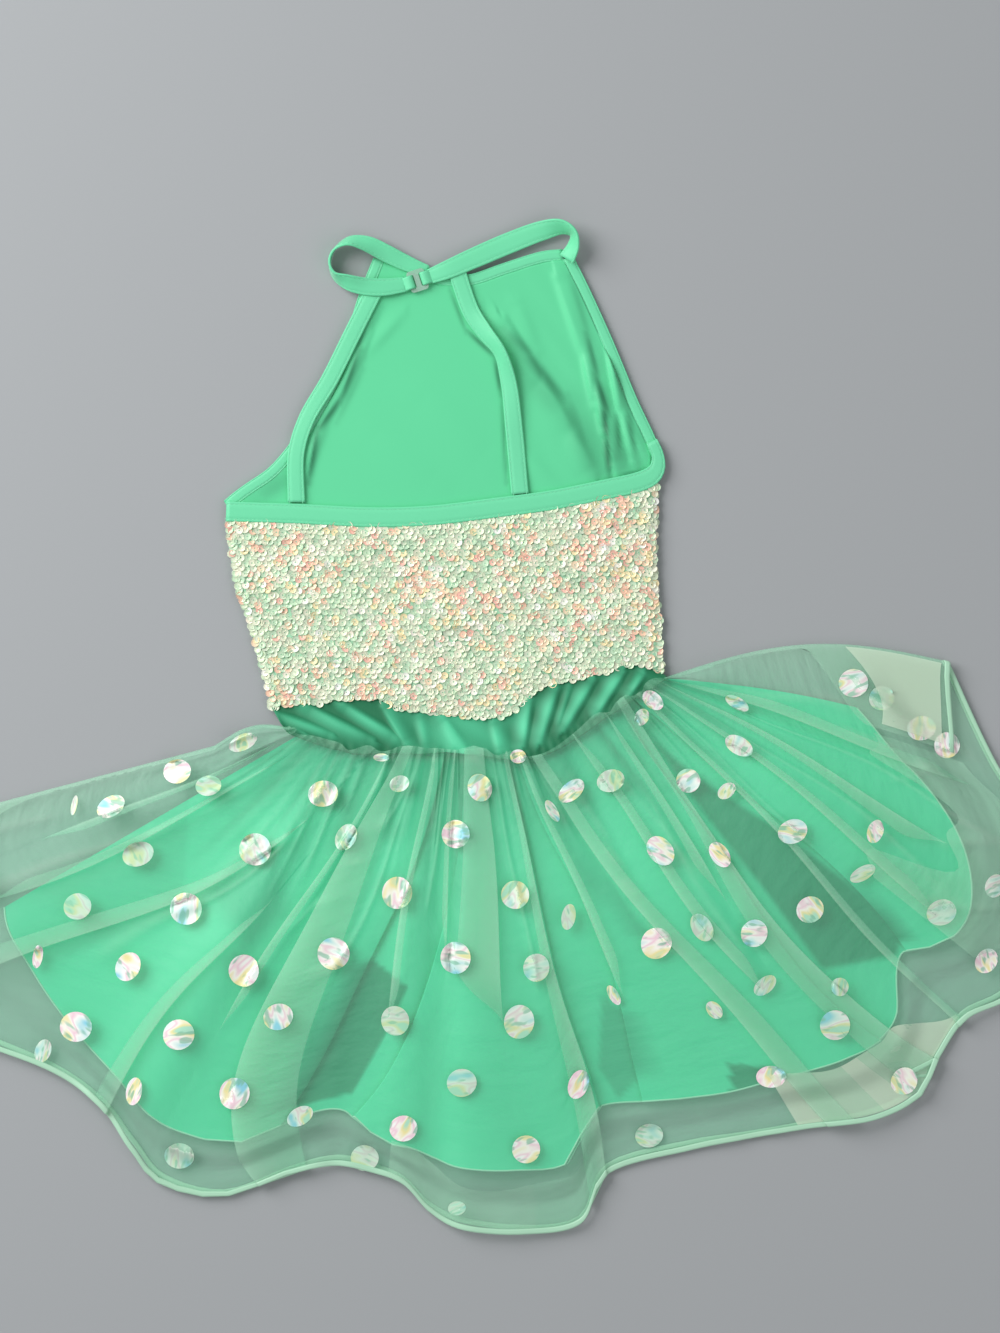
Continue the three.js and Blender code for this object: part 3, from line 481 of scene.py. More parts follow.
# Creases that stand up from the lining: x1, y1, x2, y2, height, and width to the left and to the right.
LINING_CREASES = [
    (20, 258, 46, 216, 2.6, 3, 9),
    (40, 228, 62, 190, 2.4, 3.2, 9),
    (60, 194, 74, 166, 2.0, 3.5, 8),
    (52, 284, 70, 232, 2.2, 9, 2.6),
    (68, 240, 75, 206, 3.4, 8, 2.2),
    (74, 226, 80, 190, 4.4, 7, 1.8),
    (80, 206, 86, 170, 4.4, 7, 1.8),
    (83, 240, 90, 200, 3.6, 4, 1.8),
    (90, 206, 98, 172, 3.2, 4, 1.8),
    (96, 196, 104, 176, 1.6, 3, 1.6),
    (28, 268, 40, 240, 0.8, 4, 6),
    (6, 268, 12, 240, 0.5, 3, 5),
    (-60, 250, -76, 214, 1.3, 3, 5),
    (-54, 268, -70, 238, 1.0, 2.4, 4),
    (-66, 236, -88, 196, 1.0, 2.4, 4),
    (-86, 200, -98, 168, 1.2, 3, 4),
    (-40, 262, -60, 240, 0.7, 3, 5),
    (-30, 214, 12, 176, 0.5, 10, 14),
    (-60, 190, -20, 160, 0.4, 9, 12),
    (30, 178, 60, 152, 0.8, 5, 8),
]
u_places, v_places = np.linspace(0, 1, 150), np.linspace(0, 1, 150)
lining_left = LEFT_ARMHOLE + [tuple(p) for p in moved(LEFT_SIDE, LINING_INSET)]
lining_right = RIGHT_ARMHOLE + [tuple(p) for p in moved(RIGHT_SIDE, -LINING_INSET)]
lining_bottom = [lining_left[-1]] + FRONT_BOTTOM[1:-1] + [lining_right[-1]]
x, y, u, v = panel(NECKLINE, lining_bottom, lining_left, lining_right, u_places, v_places)


def lining_height(x, y):
    """Height of the lining's middle, with small wrinkles on the right."""
    wrinkle = 0.12 * np.sin(0.35 * x + 0.22 * y + 1.5 * np.sin(0.05 * y)) * smooth(x, 10, 70)
    return LINING_Z + ridges(LINING_CREASES, x, y) + wrinkle


# Painted shade along the lining's creases and beside the back straps: x1, y1, x2, y2, strength, and width to
# each side.
LINING_PAINTED_SHADE = [
    (70, 250, 77, 222, 0.7, 1.4, 2.4),
    (75, 226, 83, 200, 0.9, 1.6, 2.6),
    (80, 206, 83, 184, 1.0, 1.6, 2.6),
    (82, 192, 84, 163, 1.0, 1.8, 3.0),
    (88, 200, 90, 176, 0.6, 1.2, 2.0),
    (87, 230, 93, 208, 0.5, 1.0, 1.8),
    (94, 200, 99, 180, 0.5, 1.2, 1.8),
    (21, 252, 38, 235, 0.5, 3, 4),
    (32, 240, 60, 206, 0.62, 3, 5),
    (58, 212, 72, 176, 0.5, 4, 6),
    (87, 163, 104, 168, 0.6, 2, 1.6),
    (-66, 240, -78, 208, 0.9, 2.4, 1.2),
    (-77, 212, -92, 190, 0.9, 2.4, 1.2),
    (-91, 194, -97, 160, 0.9, 2.4, 1.2),
    (-62, 262, -68, 238, 0.5, 2.0, 1.0),
    (-12, 276, -2, 250, 0.5, 1.0, 1.5),
    (-2, 252, 15, 236, 0.8, 1.0, 1.8),
    (15, 236, 19, 212, 0.8, 1.0, 1.8),
    (19, 214, 22, 160, 0.5, 0.8, 1.6),
    (-58, 262, -74, 236, 0.25, 2, 2),
    (-64, 228, -80, 196, 0.25, 2, 2),
    (60, 284, 72, 246, 0.3, 2, 2),
    (90, 220, 100, 184, 0.4, 1.6, 1.6),
    (62, 206, 80, 156, 0.32, 12, 9),
    (34, 226, 56, 200, 0.25, 9, 7),
    (74, 180, 98, 170, 0.3, 10, 8),
    (-104, 166, -128, 150, 0.3, 5, 8),
]
lining_grid = np.stack([x, y, lining_height(x, y)], -1)
# The lining's pressed attribute is painted shade along its creases.
lining = shell_object(
    "front_lining_cloth",
    lining_grid,
    LINING_WALL,
    tricot,
    np.stack([x, y], -1),
    {"pressed": ridges(LINING_PAINTED_SHADE, x, y)},
)
dress(lining, "lining", "front_lining")


# Bindings: stretch tape folded round the raw edges of front and lining, at both armholes and along the neck,
# and topstitched once. They hold the lining to the front. A tape follows rows of x, y, z, roll and width. Its
# section, in half widths and half walls, is crowned, with a groove where the stitches pull it in.
TAPE_SECTION = np.array(
    [
        (-1, 0),
        (-0.985, 0.55),
        (-0.93, 0.95),
        (-0.8, 0.98),
        (-0.74, 0.78),
        (-0.68, 0.98),
        (-0.35, 1.0),
        (0, 1.02),
    ]
)
TAPE_SECTION = np.vstack([TAPE_SECTION, (TAPE_SECTION * (-1, 1))[-2:0:-1]])
TAPE_SECTION = np.vstack([TAPE_SECTION, TAPE_SECTION[::-1] * (1, -1)])
STITCH_AT = 0.74
STITCH_LENGTH = 1.9
STITCH_PITCH = 2.7
STITCH_SUNK = 0.42
THREAD_RADIUS = 0.17


def tape_frames(rows, step):
    """Places along a tape, with its directions ahead, to the left and up, and its half width."""
    rows = np.asarray(rows, float)
    lengths = np.linalg.norm(np.diff(rows[:, :3], axis=0), axis=1).sum()
    count = max(int(lengths / step), 2)
    path = curve(rows, np.linspace(0, 1, count + 1), 3)
    ahead = np.gradient(path[:, :3], axis=0)
    ahead /= np.linalg.norm(ahead, axis=1)[:, None]
    level = np.stack([-ahead[:, 1], ahead[:, 0], np.zeros(len(path))], -1)
    level /= np.linalg.norm(level, axis=1)[:, None]
    roll = np.radians(path[:, 3])[:, None]
    side = level * np.cos(roll) + np.cross(ahead, level) * np.sin(roll)
    return path[:, :3], ahead, side, np.cross(ahead, side), path[:, 4] / 2


def tape_object(name, rows, wall, material, step=2.0):
    """A closed tape along its rows. Its UV is in millimetres across and along the tape."""
    place, ahead, side, up, half = tape_frames(rows, step)
    across, high = TAPE_SECTION.T
    points = (
        place[:, None]
        + side[:, None] * (half[:, None] * across)[..., None]
        + up[:, None] * (np.full_like(half, wall / 2)[:, None] * high)[..., None]
    )
    rows_count, n = points.shape[:2]
    ring = np.arange(n)
    after = (ring + 1) % n
    start = np.arange(rows_count - 1)[:, None] * n
    faces = np.stack([start + ring, start + after, start + after + n, start + ring + n], -1).reshape(-1, 4)
    half_ring = n // 2
    pairs = np.arange(half_ring - 1)
    cap = np.stack([pairs, n - 1 - pairs, n - 2 - pairs, pairs + 1], -1)
    last = (rows_count - 1) * n
    faces = np.concatenate([faces[:, ::-1], cap[:, ::-1], cap + last])
    distance = np.cumsum(np.concatenate([[0], np.linalg.norm(np.diff(place, axis=0), axis=1)]))
    uv = np.stack(np.broadcast_arrays(half[:, None] * across, distance[:, None]), -1)
    return build(name, points, faces, material, uv)


# A stitch is a short bar of thread with tapered ends. Its rings are at shares of its half length and of its
# radius.
STITCH_RINGS = ((-1, 0.35), (-0.6, 1), (0.6, 1), (1, 0.35))
bar_angles = np.radians([0, 60, 120, 180, 240, 300])
STITCH_SHAPE = np.array(
    [
        (x * STITCH_LENGTH / 2, math.cos(a) * THREAD_RADIUS * r, math.sin(a) * THREAD_RADIUS * r)
        for x, r in STITCH_RINGS
        for a in bar_angles
    ]
)
STITCH_FACES = [
    (6 * i + k, 6 * i + (k + 1) % 6, 6 * i + 6 + (k + 1) % 6, 6 * i + 6 + k) for i in range(3) for k in range(6)
]


def stitch_rows(name, rows, wall, material, lines=(-STITCH_AT, STITCH_AT)):
    """Stitches along a tape, on its upper side."""
    place, ahead, side, up, half = tape_frames(rows, STITCH_PITCH)
    top = place + up * (wall * STITCH_SUNK)
    places = np.concatenate([top + side * (half * line)[:, None] for line in lines])
    axes = np.stack([np.concatenate([d] * len(lines)) for d in (ahead, side, up)], 1)
    return scatter(name, STITCH_SHAPE, STITCH_FACES, places, axes, material)


# The tape is warp-knitted stretch yarn, folded and pressed: mint green, with fine ribs along it and a slight
# sheen. The ribs are 0.29 mm apart, too fine to show singly, so they only soften the sheen. A wave texture
# runs 20 times in 2 pi.
RIB_PITCH = 0.2856
stretch_tape, tree, output = new_material("stretch_tape_knit")
cloth_uv = add_node(tree, "ShaderNodeUVMap")
ribs = add_node(
    tree,
    "ShaderNodeTexWave",
    {
        "Vector": cloth_uv.outputs["UV"],
        "Scale": 2 * math.pi / (20 * RIB_PITCH),
        "Distortion": 0.6,
        "Detail": 1.0,
    },
    bands_direction="X",
)
bump = add_node(tree, "ShaderNodeBump", {"Height": ribs.outputs["Fac"], "Strength": 0.25, "Distance": 0.0001})
shader = add_node(
    tree,
    "ShaderNodeBsdfPrincipled",
    {
        "Base Color": linear("#6CDBA6"),
        "Roughness": 0.5,
        "Sheen Weight": 0.35,
        "Sheen Roughness": 0.4,
        "Normal": bump.outputs["Normal"],
    },
)
finish_material(tree, output, shader)

# The thread is spun polyester with a little gloss, so it looks a bit lighter than the tape.
thread, tree, output = new_material("polyester_thread")
shader = add_node(tree, "ShaderNodeBsdfPrincipled", {"Base Color": linear("#86E2B4"), "Roughness": 0.45})
finish_material(tree, output, shader)

# The record's finish of the tapes is looked up by a node.
TAPE_SLOT = next(row["material_slot"] for row in frame["record"]["subparts"] if row["node"] == "back_band")
BINDING_WALL = 3.0
BINDING_TAPE_WALL = 2.6
BINDING_WIDTH = 7.0
BINDING_OUTSET = 2.9
BINDING_STEP = 2.5


def binding(name, edge, outward):
    """Tape along an edge, with its one row of stitches on the inner side."""
    middle = moved(curve(edge, np.linspace(0, 1, 30)), outward * BINDING_OUTSET)
    rows = [(px, py, BINDING_WALL / 2, 0, BINDING_WIDTH) for px, py in middle]
    tape = tape_object(name + "_tape", rows, BINDING_TAPE_WALL, stretch_tape, BINDING_STEP)
    piece = dress(tape, TAPE_SLOT, name)
    inner = (-outward * STITCH_AT,)
    stitches = dress(stitch_rows(name + "_stitches", rows, BINDING_TAPE_WALL, thread, inner), TAPE_SLOT)
    return [piece, stitches]


on_front = [
    *binding("armhole_binding_left", LEFT_ARMHOLE + [(-143.5, 144.5)], -1),
    *binding("armhole_binding_right", RIGHT_ARMHOLE, 1),
    *binding("neckline_binding", NECKLINE, 1),
]


# Straps: the same tape, folded and topstitched along both edges. Two run down the open back, from the neck to
# the band, and two go round the neck and meet in the closure hook. Each row is x, y, roll in degrees and
# width.
STRAP_WALL = 1.5
STRAP_STEP = 1.5
STRAP_REST = 0.3
LINING_TOP = 2.7


def strap_rows(table, ground_at):
    """Rows of a tape that rests on what ground_at gives at each point."""
    rows = []
    for px, py, roll, wide in table:
        angle = math.radians(roll)
        half = wide / 2 * math.sin(angle) + STRAP_WALL / 2 * math.cos(angle)
        rows.append((px, py, ground_at(px, py, roll) + STRAP_REST + half, roll, wide))
    return rows


def on_lining(px, py, roll):
    """Height that a back strap rests on: the lining's highest crease under its width."""
    around = np.array([px - 5.0, px, px + 5.0])
    return max(BINDING_WALL, float(ridges(LINING_CREASES, around, np.full(3, py)).max()) + LINING_TOP)


LOOP_WIDTH = 8.0
LOOP_WALL = 0.8
# The folded-back end: distance from the hook's centre, and height.
LOOP_PROFILE = (
    (8.6, 4.35),
    (6.4, 5.5),
    (4.4, 5.85),
    (3.0, 5.3),
    (2.5, 4.3),
    (3.1, 3.35),
    (4.6, 2.9),
    (8.6, 3.0),
)


def strap_loop(name, end):
    """The strap's last stretch, passed through the hook's slot and folded back under itself."""
    centre = np.array([*HOOK_CENTRE, 0.0])
    outward = np.array([end[0] - centre[0], end[1] - centre[1], 0.0])
    outward /= np.linalg.norm(outward)
    profile = np.array([centre + outward * distance + (0, 0, height) for distance, height in LOOP_PROFILE])
    dense = curve(profile, np.linspace(0, 1, 30), 3)
    side = np.cross(outward, (0, 0, 1.0))
    across = np.linspace(-LOOP_WIDTH / 2, LOOP_WIDTH / 2, 9)
    grid = dense[:, None] + side[None, None] * across[None, :, None]
    uv = np.stack(np.broadcast_arrays(across[None], np.linspace(0, 20, 30)[:, None]), -1)
    return dress(shell_object(name, grid, LOOP_WALL, stretch_tape, uv), TAPE_SLOT)


def strap(name, table, ground_at, hooked_row=None):
    """One strap with its stitches. hooked_row is the row that ends in the hook, if it has one."""
    rows = strap_rows(table, ground_at)
    piece = dress(tape_object(name + "_tape", rows, STRAP_WALL, stretch_tape, STRAP_STEP), TAPE_SLOT, name)
    stitches = dress(stitch_rows(name + "_stitches", rows, STRAP_WALL, thread), TAPE_SLOT)
    if hooked_row is not None:
        strap_loop(name.replace("neck_strap", "strap_loop"), rows[hooked_row])


strap(
    "back_strap_left",
    [
        (-57, 276, 0, 10.5),
        (-70.5, 249, 0, 10.5),
        (-84, 222, 2, 10.5),
        (-98, 198, 5, 10),
        (-104, 178, 3, 10),
        (-104, 148.6, 0, 10.5),
    ],
    on_lining,
)
strap(
    "back_strap_right",
    [
        (-8, 288, 0, 10.5),
        (-5, 278, 0, 10.5),
        (1, 262, 4, 10.5),
        (9, 250, 24, 10.2),
        (18, 238, 44, 10),
        (23, 221, 20, 10),
        (26.5, 192, 0, 10.5),
        (30, 153.6, 0, 10.5),
    ],
    on_lining,
)


def neck_left_ground(px, py, roll):
    """On the binding, lower under the other strap, and on the floor where the tape rolls up."""
    if roll > 70:
        return 0.0
    if py > 286 and px > -45:
        return BINDING_WALL - 0.07 * (px + 45)
    return BINDING_WALL + 1.9 * math.exp(-(((px + 57) / 10) ** 2))


strap(
    "neck_strap_left",
    [
        (-25.5, 286.8, 0, 7.6),
        (-33, 289.6, 0, 8.8),
        (-40, 292.6, 0, 9.8),
        (-50, 297.4, 0, 10.5),
        (-62, 303, 25, 10.5),
        (-73, 304.5, 60, 10.5),
        (-81, 300, 85, 10.5),
        (-84, 292, 90, 10.5),
        (-81, 284, 75, 10.5),
        (-73, 280, 35, 10.5),
        (-62, 277.5, 8, 10.5),
        (-51, 277.3, 0, 10.5),
        (-38.5, 279, 0, 9),
    ],
    neck_left_ground,
    hooked_row=-1,
)


def neck_right_ground(px, py, roll):
    """On the binding, and higher where it crosses the other strap."""
    return BINDING_WALL + 1.9 * math.exp(-(((px + 7) / 9) ** 2))


strap(
    "neck_strap_right",
    [
        (-24.3, 283.6, 0, 9),
        (-14, 287.5, 0, 11),
        (3, 295, 0, 12.4),
        (24, 304, 0, 12.8),
        (43, 311, 12, 12),
        (55, 313, 45, 11),
        (62, 309, 70, 10.5),
        (62, 302, 50, 10.5),
        (58, 294, 20, 10.5),
    ],
    neck_right_ground,
    hooked_row=0,
)


# Closure hook: a small slider of clear acrylic, injection moulded in one piece with two slots. Each neck
# strap's end goes through a slot and is folded back under itself. It takes the solid's own form, with its
# edges rounded. Moulded acrylic is smooth, so it shows the green tape through it and a small sharp highlight.
clear_acrylic, tree, output = new_material("clear_acrylic_moulded")
shader = add_node(
    tree,
    "ShaderNodeBsdfPrincipled",
    {"Base Color": linear("#B4D6C4"), "Roughness": 0.18, "IOR": 1.49, "Alpha": 0.55, "Coat Weight": 0.5},
)
finish_material(tree, output, shader)
EDGE_ROUNDING = 0.0004
hook = frame["nodes"]["closure_hook"].copy()
hook.data = frame["nodes"]["closure_hook"].data.copy()
hook.name = "closure_hook_moulded"
for key in list(hook.keys()):
    del hook[key]
bpy.context.scene.collection.objects.link(hook)
hook.data.materials.clear()
hook.data.materials.append(clear_acrylic)
rounding = hook.modifiers.new("rounded_edges", "BEVEL")
rounding.width = EDGE_ROUNDING
rounding.segments = 3
hook.parent = None
dress(hook, "plastic", "closure_hook")


# Lower back: the same sequinned stretch mesh, its sides turned down and sewn to the front. The sequins stand
# in staggered rows and hang a little over the wavy lower edge.
BACK_PANEL_Z = 3.7
BACK_GROUND_WALL = 0.6
BAND_HALF = 5.2
BACK_BAND = [
    (-146, 143),
    (-102, 141.6),
    (-60, 139.6),
    (-24, 140.6),
    (18, 145.6),
    (48, 149.6),
    (78, 155.6),
    (102, 161),
    (110, 164.5),
]
BACK_BOTTOM = [
    (-119, 26),
    (-90, 29),
    (-57, 31),
    (-42, 25),
    (-24, 23),
    (6, 20),
    (25, 23),
    (39, 36),
    (54, 41),
    (78, 46),
    (96, 52),
    (115, 47),
]
BACK_CREASES = [
    (-70, 60, 20, 88, 1.0, 12, 12),
    (60, 70, 108, 92, 1.2, 9, 9),
    (-130, 100, -60, 82, 0.8, 12, 12),
    (40, 100, 104, 120, 0.8, 9, 9),
    (-110, 62, -60, 48, 0.9, 7, 7),
    (10, 42, 60, 62, 0.9, 7, 7),
]
back_top = moved(BACK_BAND, -BAND_HALF)
back_left_edge = [tuple(back_top[0])] + LEFT_SIDE[1:]
back_right_edge = [tuple(back_top[-1])] + RIGHT_SIDE[1:]


def back_height(x, y, u):
    """Height of the ground's middle, which turns down at both sides."""
    turned = 1 - smooth(np.minimum(u, 1 - u), 0, 0.02)
    return BACK_PANEL_Z + ridges(BACK_CREASES, x, y) - 1.3 * turned


x, y, u, v = panel(
    back_top, BACK_BOTTOM, back_left_edge, back_right_edge, np.linspace(0, 1, 120), np.linspace(0, 1, 60)
)
back_grid = np.stack([x, y, back_height(x, y, u)], -1)
back_panel = shell_object("back_sequin_cloth", back_grid, BACK_GROUND_WALL, ground, np.stack([x, y], -1))
dress(back_panel, "sequin_cloth", "back_panel")
back_edge = np.vstack(
    [
        curve(back_top, np.linspace(0, 1, 60)),
        curve(back_right_edge, np.linspace(0, 1, 40)),
        curve(BACK_BOTTOM, np.linspace(1, 0, 60)),
        curve(back_left_edge, np.linspace(1, 0, 40)),
    ]
)
# Where painted glints gather, coral and cream tints for the light the sequins catch: x, y, reach and how many
# more of them there are.
GLINTS = [
    (-134, 131, 9, 0.4),
    (-102, 120, 12, 0.35),
    (-86, 104, 11, 0.35),
    (-120, 109, 9, 0.3),
    (-52, 120, 10, 0.35),
    (-33, 107, 9, 0.6),
    (-26, 97, 10, 0.55),
    (-14, 92, 9, 0.5),
    (-73, 52, 9, 0.3),
    (-42, 66, 8, 0.25),
    (-108, 32, 7, 0.4),
    (-62, 36, 8, 0.3),
    (16, 118, 14, 0.3),
    (30, 130, 12, 0.3),
    (40, 104, 12, 0.25),
    (64, 120, 12, 0.35),
    (0, 76, 10, 0.35),
    (20, 88, 12, 0.3),
    (18, 36, 8, 0.4),
    (84, 132, 18, 0.35),
    (100, 98, 18, 0.35),
    (70, 84, 16, 0.3),
    (56, 56, 14, 0.2),
    (92, 116, 20, 0.2),
]
BACK_PITCH = (3.8, 3.2)
BACK_LEAN = 0.13
DEEP_CUP = ((0.2, 0.0), (0.62, 0.03), (1.0, 0.2))
rng = np.random.default_rng(7)
back_places = staggered((-150, 120), (16, 170), *BACK_PITCH)
back_places += rng.normal(0, 0.5, back_places.shape)
back_places = back_places[inside(back_places[:, 0], back_places[:, 1], back_edge)]
lower = curve(BACK_BOTTOM, np.linspace(0, 1, 62)) + rng.normal(0, 0.7, (62, 2)) + (0, 0.6)
left_line = curve(back_left_edge, np.linspace(0.02, 1, 28)) + rng.normal(0, 0.4, (28, 2)) + (1.2, 0)
right_line = curve(back_right_edge, np.linspace(0.02, 1, 28)) + rng.normal(0, 0.4, (28, 2)) - (1.2, 0)
back_places = np.concatenate([back_places, lower, left_line, right_line])


def back_z(x, y):
    """Height of the sequins, which come down with the cloth at both sides."""
    near = np.minimum(x - np.interp(y, [26, 51, 81, 99, 136], [-119, -125, -134, -140, -145]), 113 - x)
    return BACK_PANEL_Z + ridges(BACK_CREASES, x, y) - 1.0 * (1 - smooth(near, 0, 5)) + 0.5


def back_slope(places, axis):
    """Rise of the sequins' height over one millimetre along an axis."""
    step = np.zeros(2)
    step[axis] = 0.5
    ahead, behind = places + step, places - step
    return back_z(ahead[:, 0], ahead[:, 1]) - back_z(behind[:, 0], behind[:, 1])


back_sequins = sequin_layer(
    "back_sequins",
    back_places,
    back_z,
    back_slope,
    lean=BACK_LEAN,
    down=False,
    sides=10,
    rings=DEEP_CUP,
    glints=GLINTS,
    seed=3,
)
dress(back_sequins, "sequin_cloth")


# Band: wider stretch tape along the top edge of the lower back, topstitched along both edges. It also holds
# the lower ends of the back straps, and at the right it turns up and narrows to meet the armhole binding.
BAND_WALL = 1.7
BAND_STEP = 2.5
band_rows = [(px, py, 3.95, 0, 12.0) for px, py in BACK_BAND[:-1]]
band_rows += [
    (109, 164.5, 3.95, 0, 11.4),
    (112.4, 169.5, 3.9, 0, 9.4),
    (112.4, 177, 3.8, 0, 7.4),
    (109, 185, 3.6, 0, 7),
]
band_tape = tape_object("back_band_tape", band_rows, BAND_WALL, stretch_tape, BAND_STEP)
back_band = dress(band_tape, TAPE_SLOT, "back_band")
band_stitches = dress(stitch_rows("back_band_stitches", band_rows, BAND_WALL, thread), TAPE_SLOT)


# Hip yoke: two strips of green stretch satin, front and back, gathered between the bodice's edge and the
# waist seam. The back one stands in pleats that fan out of the seam.
def mix(a, b, t):
    """The value a share t of the way from a to b."""
    return a + (b - a) * t


# Below the bodice the garment is spread like a fan. Each row holds the ends of one stretch, x and y at the
# waist seam and at the hem, and the underskirt's length as a share of the overskirt's.
FAN = np.array(
    [
        (-110, 14, -372, -55, 0.5),
        (-107, 11, -382, -99, 0.6),
        (-102, 9, -354, -144, 0.7),
        (-97, 7, -309, -170, 0.78),
        (-89, 4, -252, -192, 0.89),
        (-82, 2, -222, -213, 0.92),
        (-76, 1, -203, -240, 0.91),
        (-70, -1, -186, -260, 0.88),
        (-60, -1, -149, -268, 0.875),
        (-48, -1, -108, -254, 0.86),
        (-38, -1, -81, -249, 0.865),
        (-28, -1, -59, -253, 0.9),
        (-19, 0, -40, -260, 0.92),
        (-11, 0, -24, -277, 0.88),
        (-2, -1, -5, -287, 0.87),
        (8, -2, 30, -290, 0.865),
        (20, -4, 66, -284, 0.865),
        (26, -4, 83, -254, 0.845),
        (37, -4, 132, -240, 0.87),
        (49, 0, 167, -233, 0.88),
        (60, 6, 202, -227, 0.87),
        (72, 14, 243, -221, 0.855),
        (80, 20, 270, -207, 0.86),
        (85, 23, 281, -185, 0.87),
        (94, 29, 298, -161, 0.8),
        (101, 34, 323, -149, 0.82),
        (107, 37, 346, -125, 0.8),
        (111, 40, 355, -86, 0.74),
        (114, 42, 343, -45, 0.67),
        (116, 43, 318, -12, 0.62),
        (118, 44, 287, 53, 0.45),
    ]
)
FAN_END = len(FAN) - 1


def fan_column(column, at):
    """Smooth value of a column of the fan at fractional rows."""
    values = FAN[:, column]
    i = np.clip(np.floor(at), 0, FAN_END - 1).astype(int)
    t = at - i
    p0, p1 = values[np.maximum(i - 1, 0)], values[i]
    p2, p3 = values[i + 1], values[np.minimum(i + 2, FAN_END)]
    bend = 2 * p0 - 5 * p1 + 4 * p2 - p3
    return 0.5 * (2 * p1 + (p2 - p0) * t + bend * t**2 + (3 * p1 - p0 - 3 * p2 + p3) * t**3)


def fan_point(at, share):
    """Flat place at a row of the fan and a share of the way from waist to hem. Both side folds bow up."""
    px = mix(fan_column(0, at), fan_column(2, at), share)
    py = mix(fan_column(1, at), fan_column(3, at), share)
    right_bow = 15 * np.sin(np.pi * np.clip(share, 0, 1)) * smooth(at, 28.3, 30)
    left_bow = 6 * np.sin(np.pi * np.clip(share / 0.16, 0, 1)) * smooth(-at, -1.2, 0)
    return px, py + right_bow + left_bow


# The satin is knitted stretch yarn with a pressed face and a faint sheen: painted shade makes it deep green in
# its pleats and painted light paler on their crests. The slub in its yarn is drawn 1.25 mm apart.
SLUB = 1.25
satin, tree, output = new_material("stretch_satin_knit")
cloth_uv = add_node(tree, "ShaderNodeUVMap")
grain = add_node(
    tree, "ShaderNodeTexNoise", {"Vector": cloth_uv.outputs["UV"], "Scale": 1 / SLUB, "Detail": 3.0}
)
bump = add_node(tree, "ShaderNodeBump", {"Height": grain.outputs["Fac"], "Strength": 0.25, "Distance": 0.0003})
pressed = add_node(tree, "ShaderNodeAttribute", attribute_name="pressed")
tone = add_node(
    tree,
    "ShaderNodeMix",
    {"Factor": pressed.outputs["Fac"], "A": linear("#52CC9B"), "B": linear("#0A7048")},
    data_type="RGBA",
)
shader = add_node(
    tree,
    "ShaderNodeBsdfPrincipled",
    {
        "Base Color": tone.outputs[2],
        "Roughness": 0.6,
        "Sheen Weight": 0.12,
        "Sheen Roughness": 0.4,
        "Normal": bump.outputs["Normal"],
    },
)
finish_material(tree, output, shader)
YOKE_WALL = 0.6
FRONT_YOKE_Z = 0.7
waist = FAN[:, :2]
waist_edge = moved(waist, 0.6)
front_yoke_top = moved(FRONT_BOTTOM, -0.3)
x, y, u, v = panel(
    front_yoke_top,
    waist_edge,
    [front_yoke_top[0], (front_yoke_top[0] + waist_edge[0]) / 2, waist_edge[0]],
    [front_yoke_top[-1], (front_yoke_top[-1] + waist_edge[-1]) / 2, waist_edge[-1]],
    np.linspace(0, 1, 80),
    np.linspace(0, 1, 8),
)
yoke_front_grid = np.stack([x, y, np.full_like(x, FRONT_YOKE_Z)], -1)
yoke_front = shell_object("yoke_front_cloth", yoke_front_grid, YOKE_WALL, satin, np.stack([x, y], -1))
dress(yoke_front, "yoke_cloth", "yoke_front")
# The back yoke's pleats: x1, y1, x2, y2, height, and width to the left and to the right.
YOKE_CREASES = [
    (-116, 22, -82, 9, 2.2, 2, 4),
    (-108, 16, -92, 6, 1.2, 1.6, 2.4),
    (-98, 26, -58, 6, 2.4, 2.2, 5),
    (-76, 27, -44, 8, 2.2, 2, 4.5),
    (-52, 26, -38, 4, 2.2, 5, 2),
    (-30, 20, -26, 2, 1.2, 3, 3),
    (-16, 19, -2, 0, 2.0, 2.4, 5),
    (14, 16, 18, 0, 1.6, 5, 2.4),
    (36, 30, 32, 3, 2.6, 2, 5),
    (52, 37, 42, 5, 2.6, 2, 5),
    (60, 38, 52, 12, 1.4, 1.6, 2.4),
    (74, 42, 56, 12, 2.6, 2, 5),
    (92, 47, 76, 22, 2.8, 2, 5),
    (84, 40, 72, 22, 1.2, 1.4, 2),
    (104, 46, 96, 34, 2.4, 2, 3.5),
]
back_yoke_top = moved(BACK_BOTTOM, -0.6)
seam_edge = moved(waist, -1.4)
x, y, u, v = panel(
    back_yoke_top,
    seam_edge,
    [back_yoke_top[0], (back_yoke_top[0] + seam_edge[0]) / 2, seam_edge[0]],
    [back_yoke_top[-1], (back_yoke_top[-1] + seam_edge[-1]) / 2, seam_edge[-1]],
    np.linspace(0, 1, 300),
    np.linspace(0, 1, 40),
)
# Small gathers along the waist seam, and the yoke's climb from the bodice's edge to the seam.
GATHER_COUNT = 38
GATHER_HEIGHT = 0.35
YOKE_RISE = 6.4
gathers = GATHER_HEIGHT * np.sin(2 * np.pi * (GATHER_COUNT * u + 1.3 * np.sin(9 * u))) * smooth(v, 0.7, 1)
yoke_z = BACK_PANEL_Z - 0.2 + YOKE_RISE * smooth(v, 0.1, 1) + ridges(YOKE_CREASES, x, y) + gathers
yoke_grid = np.stack([x, y, yoke_z], -1)
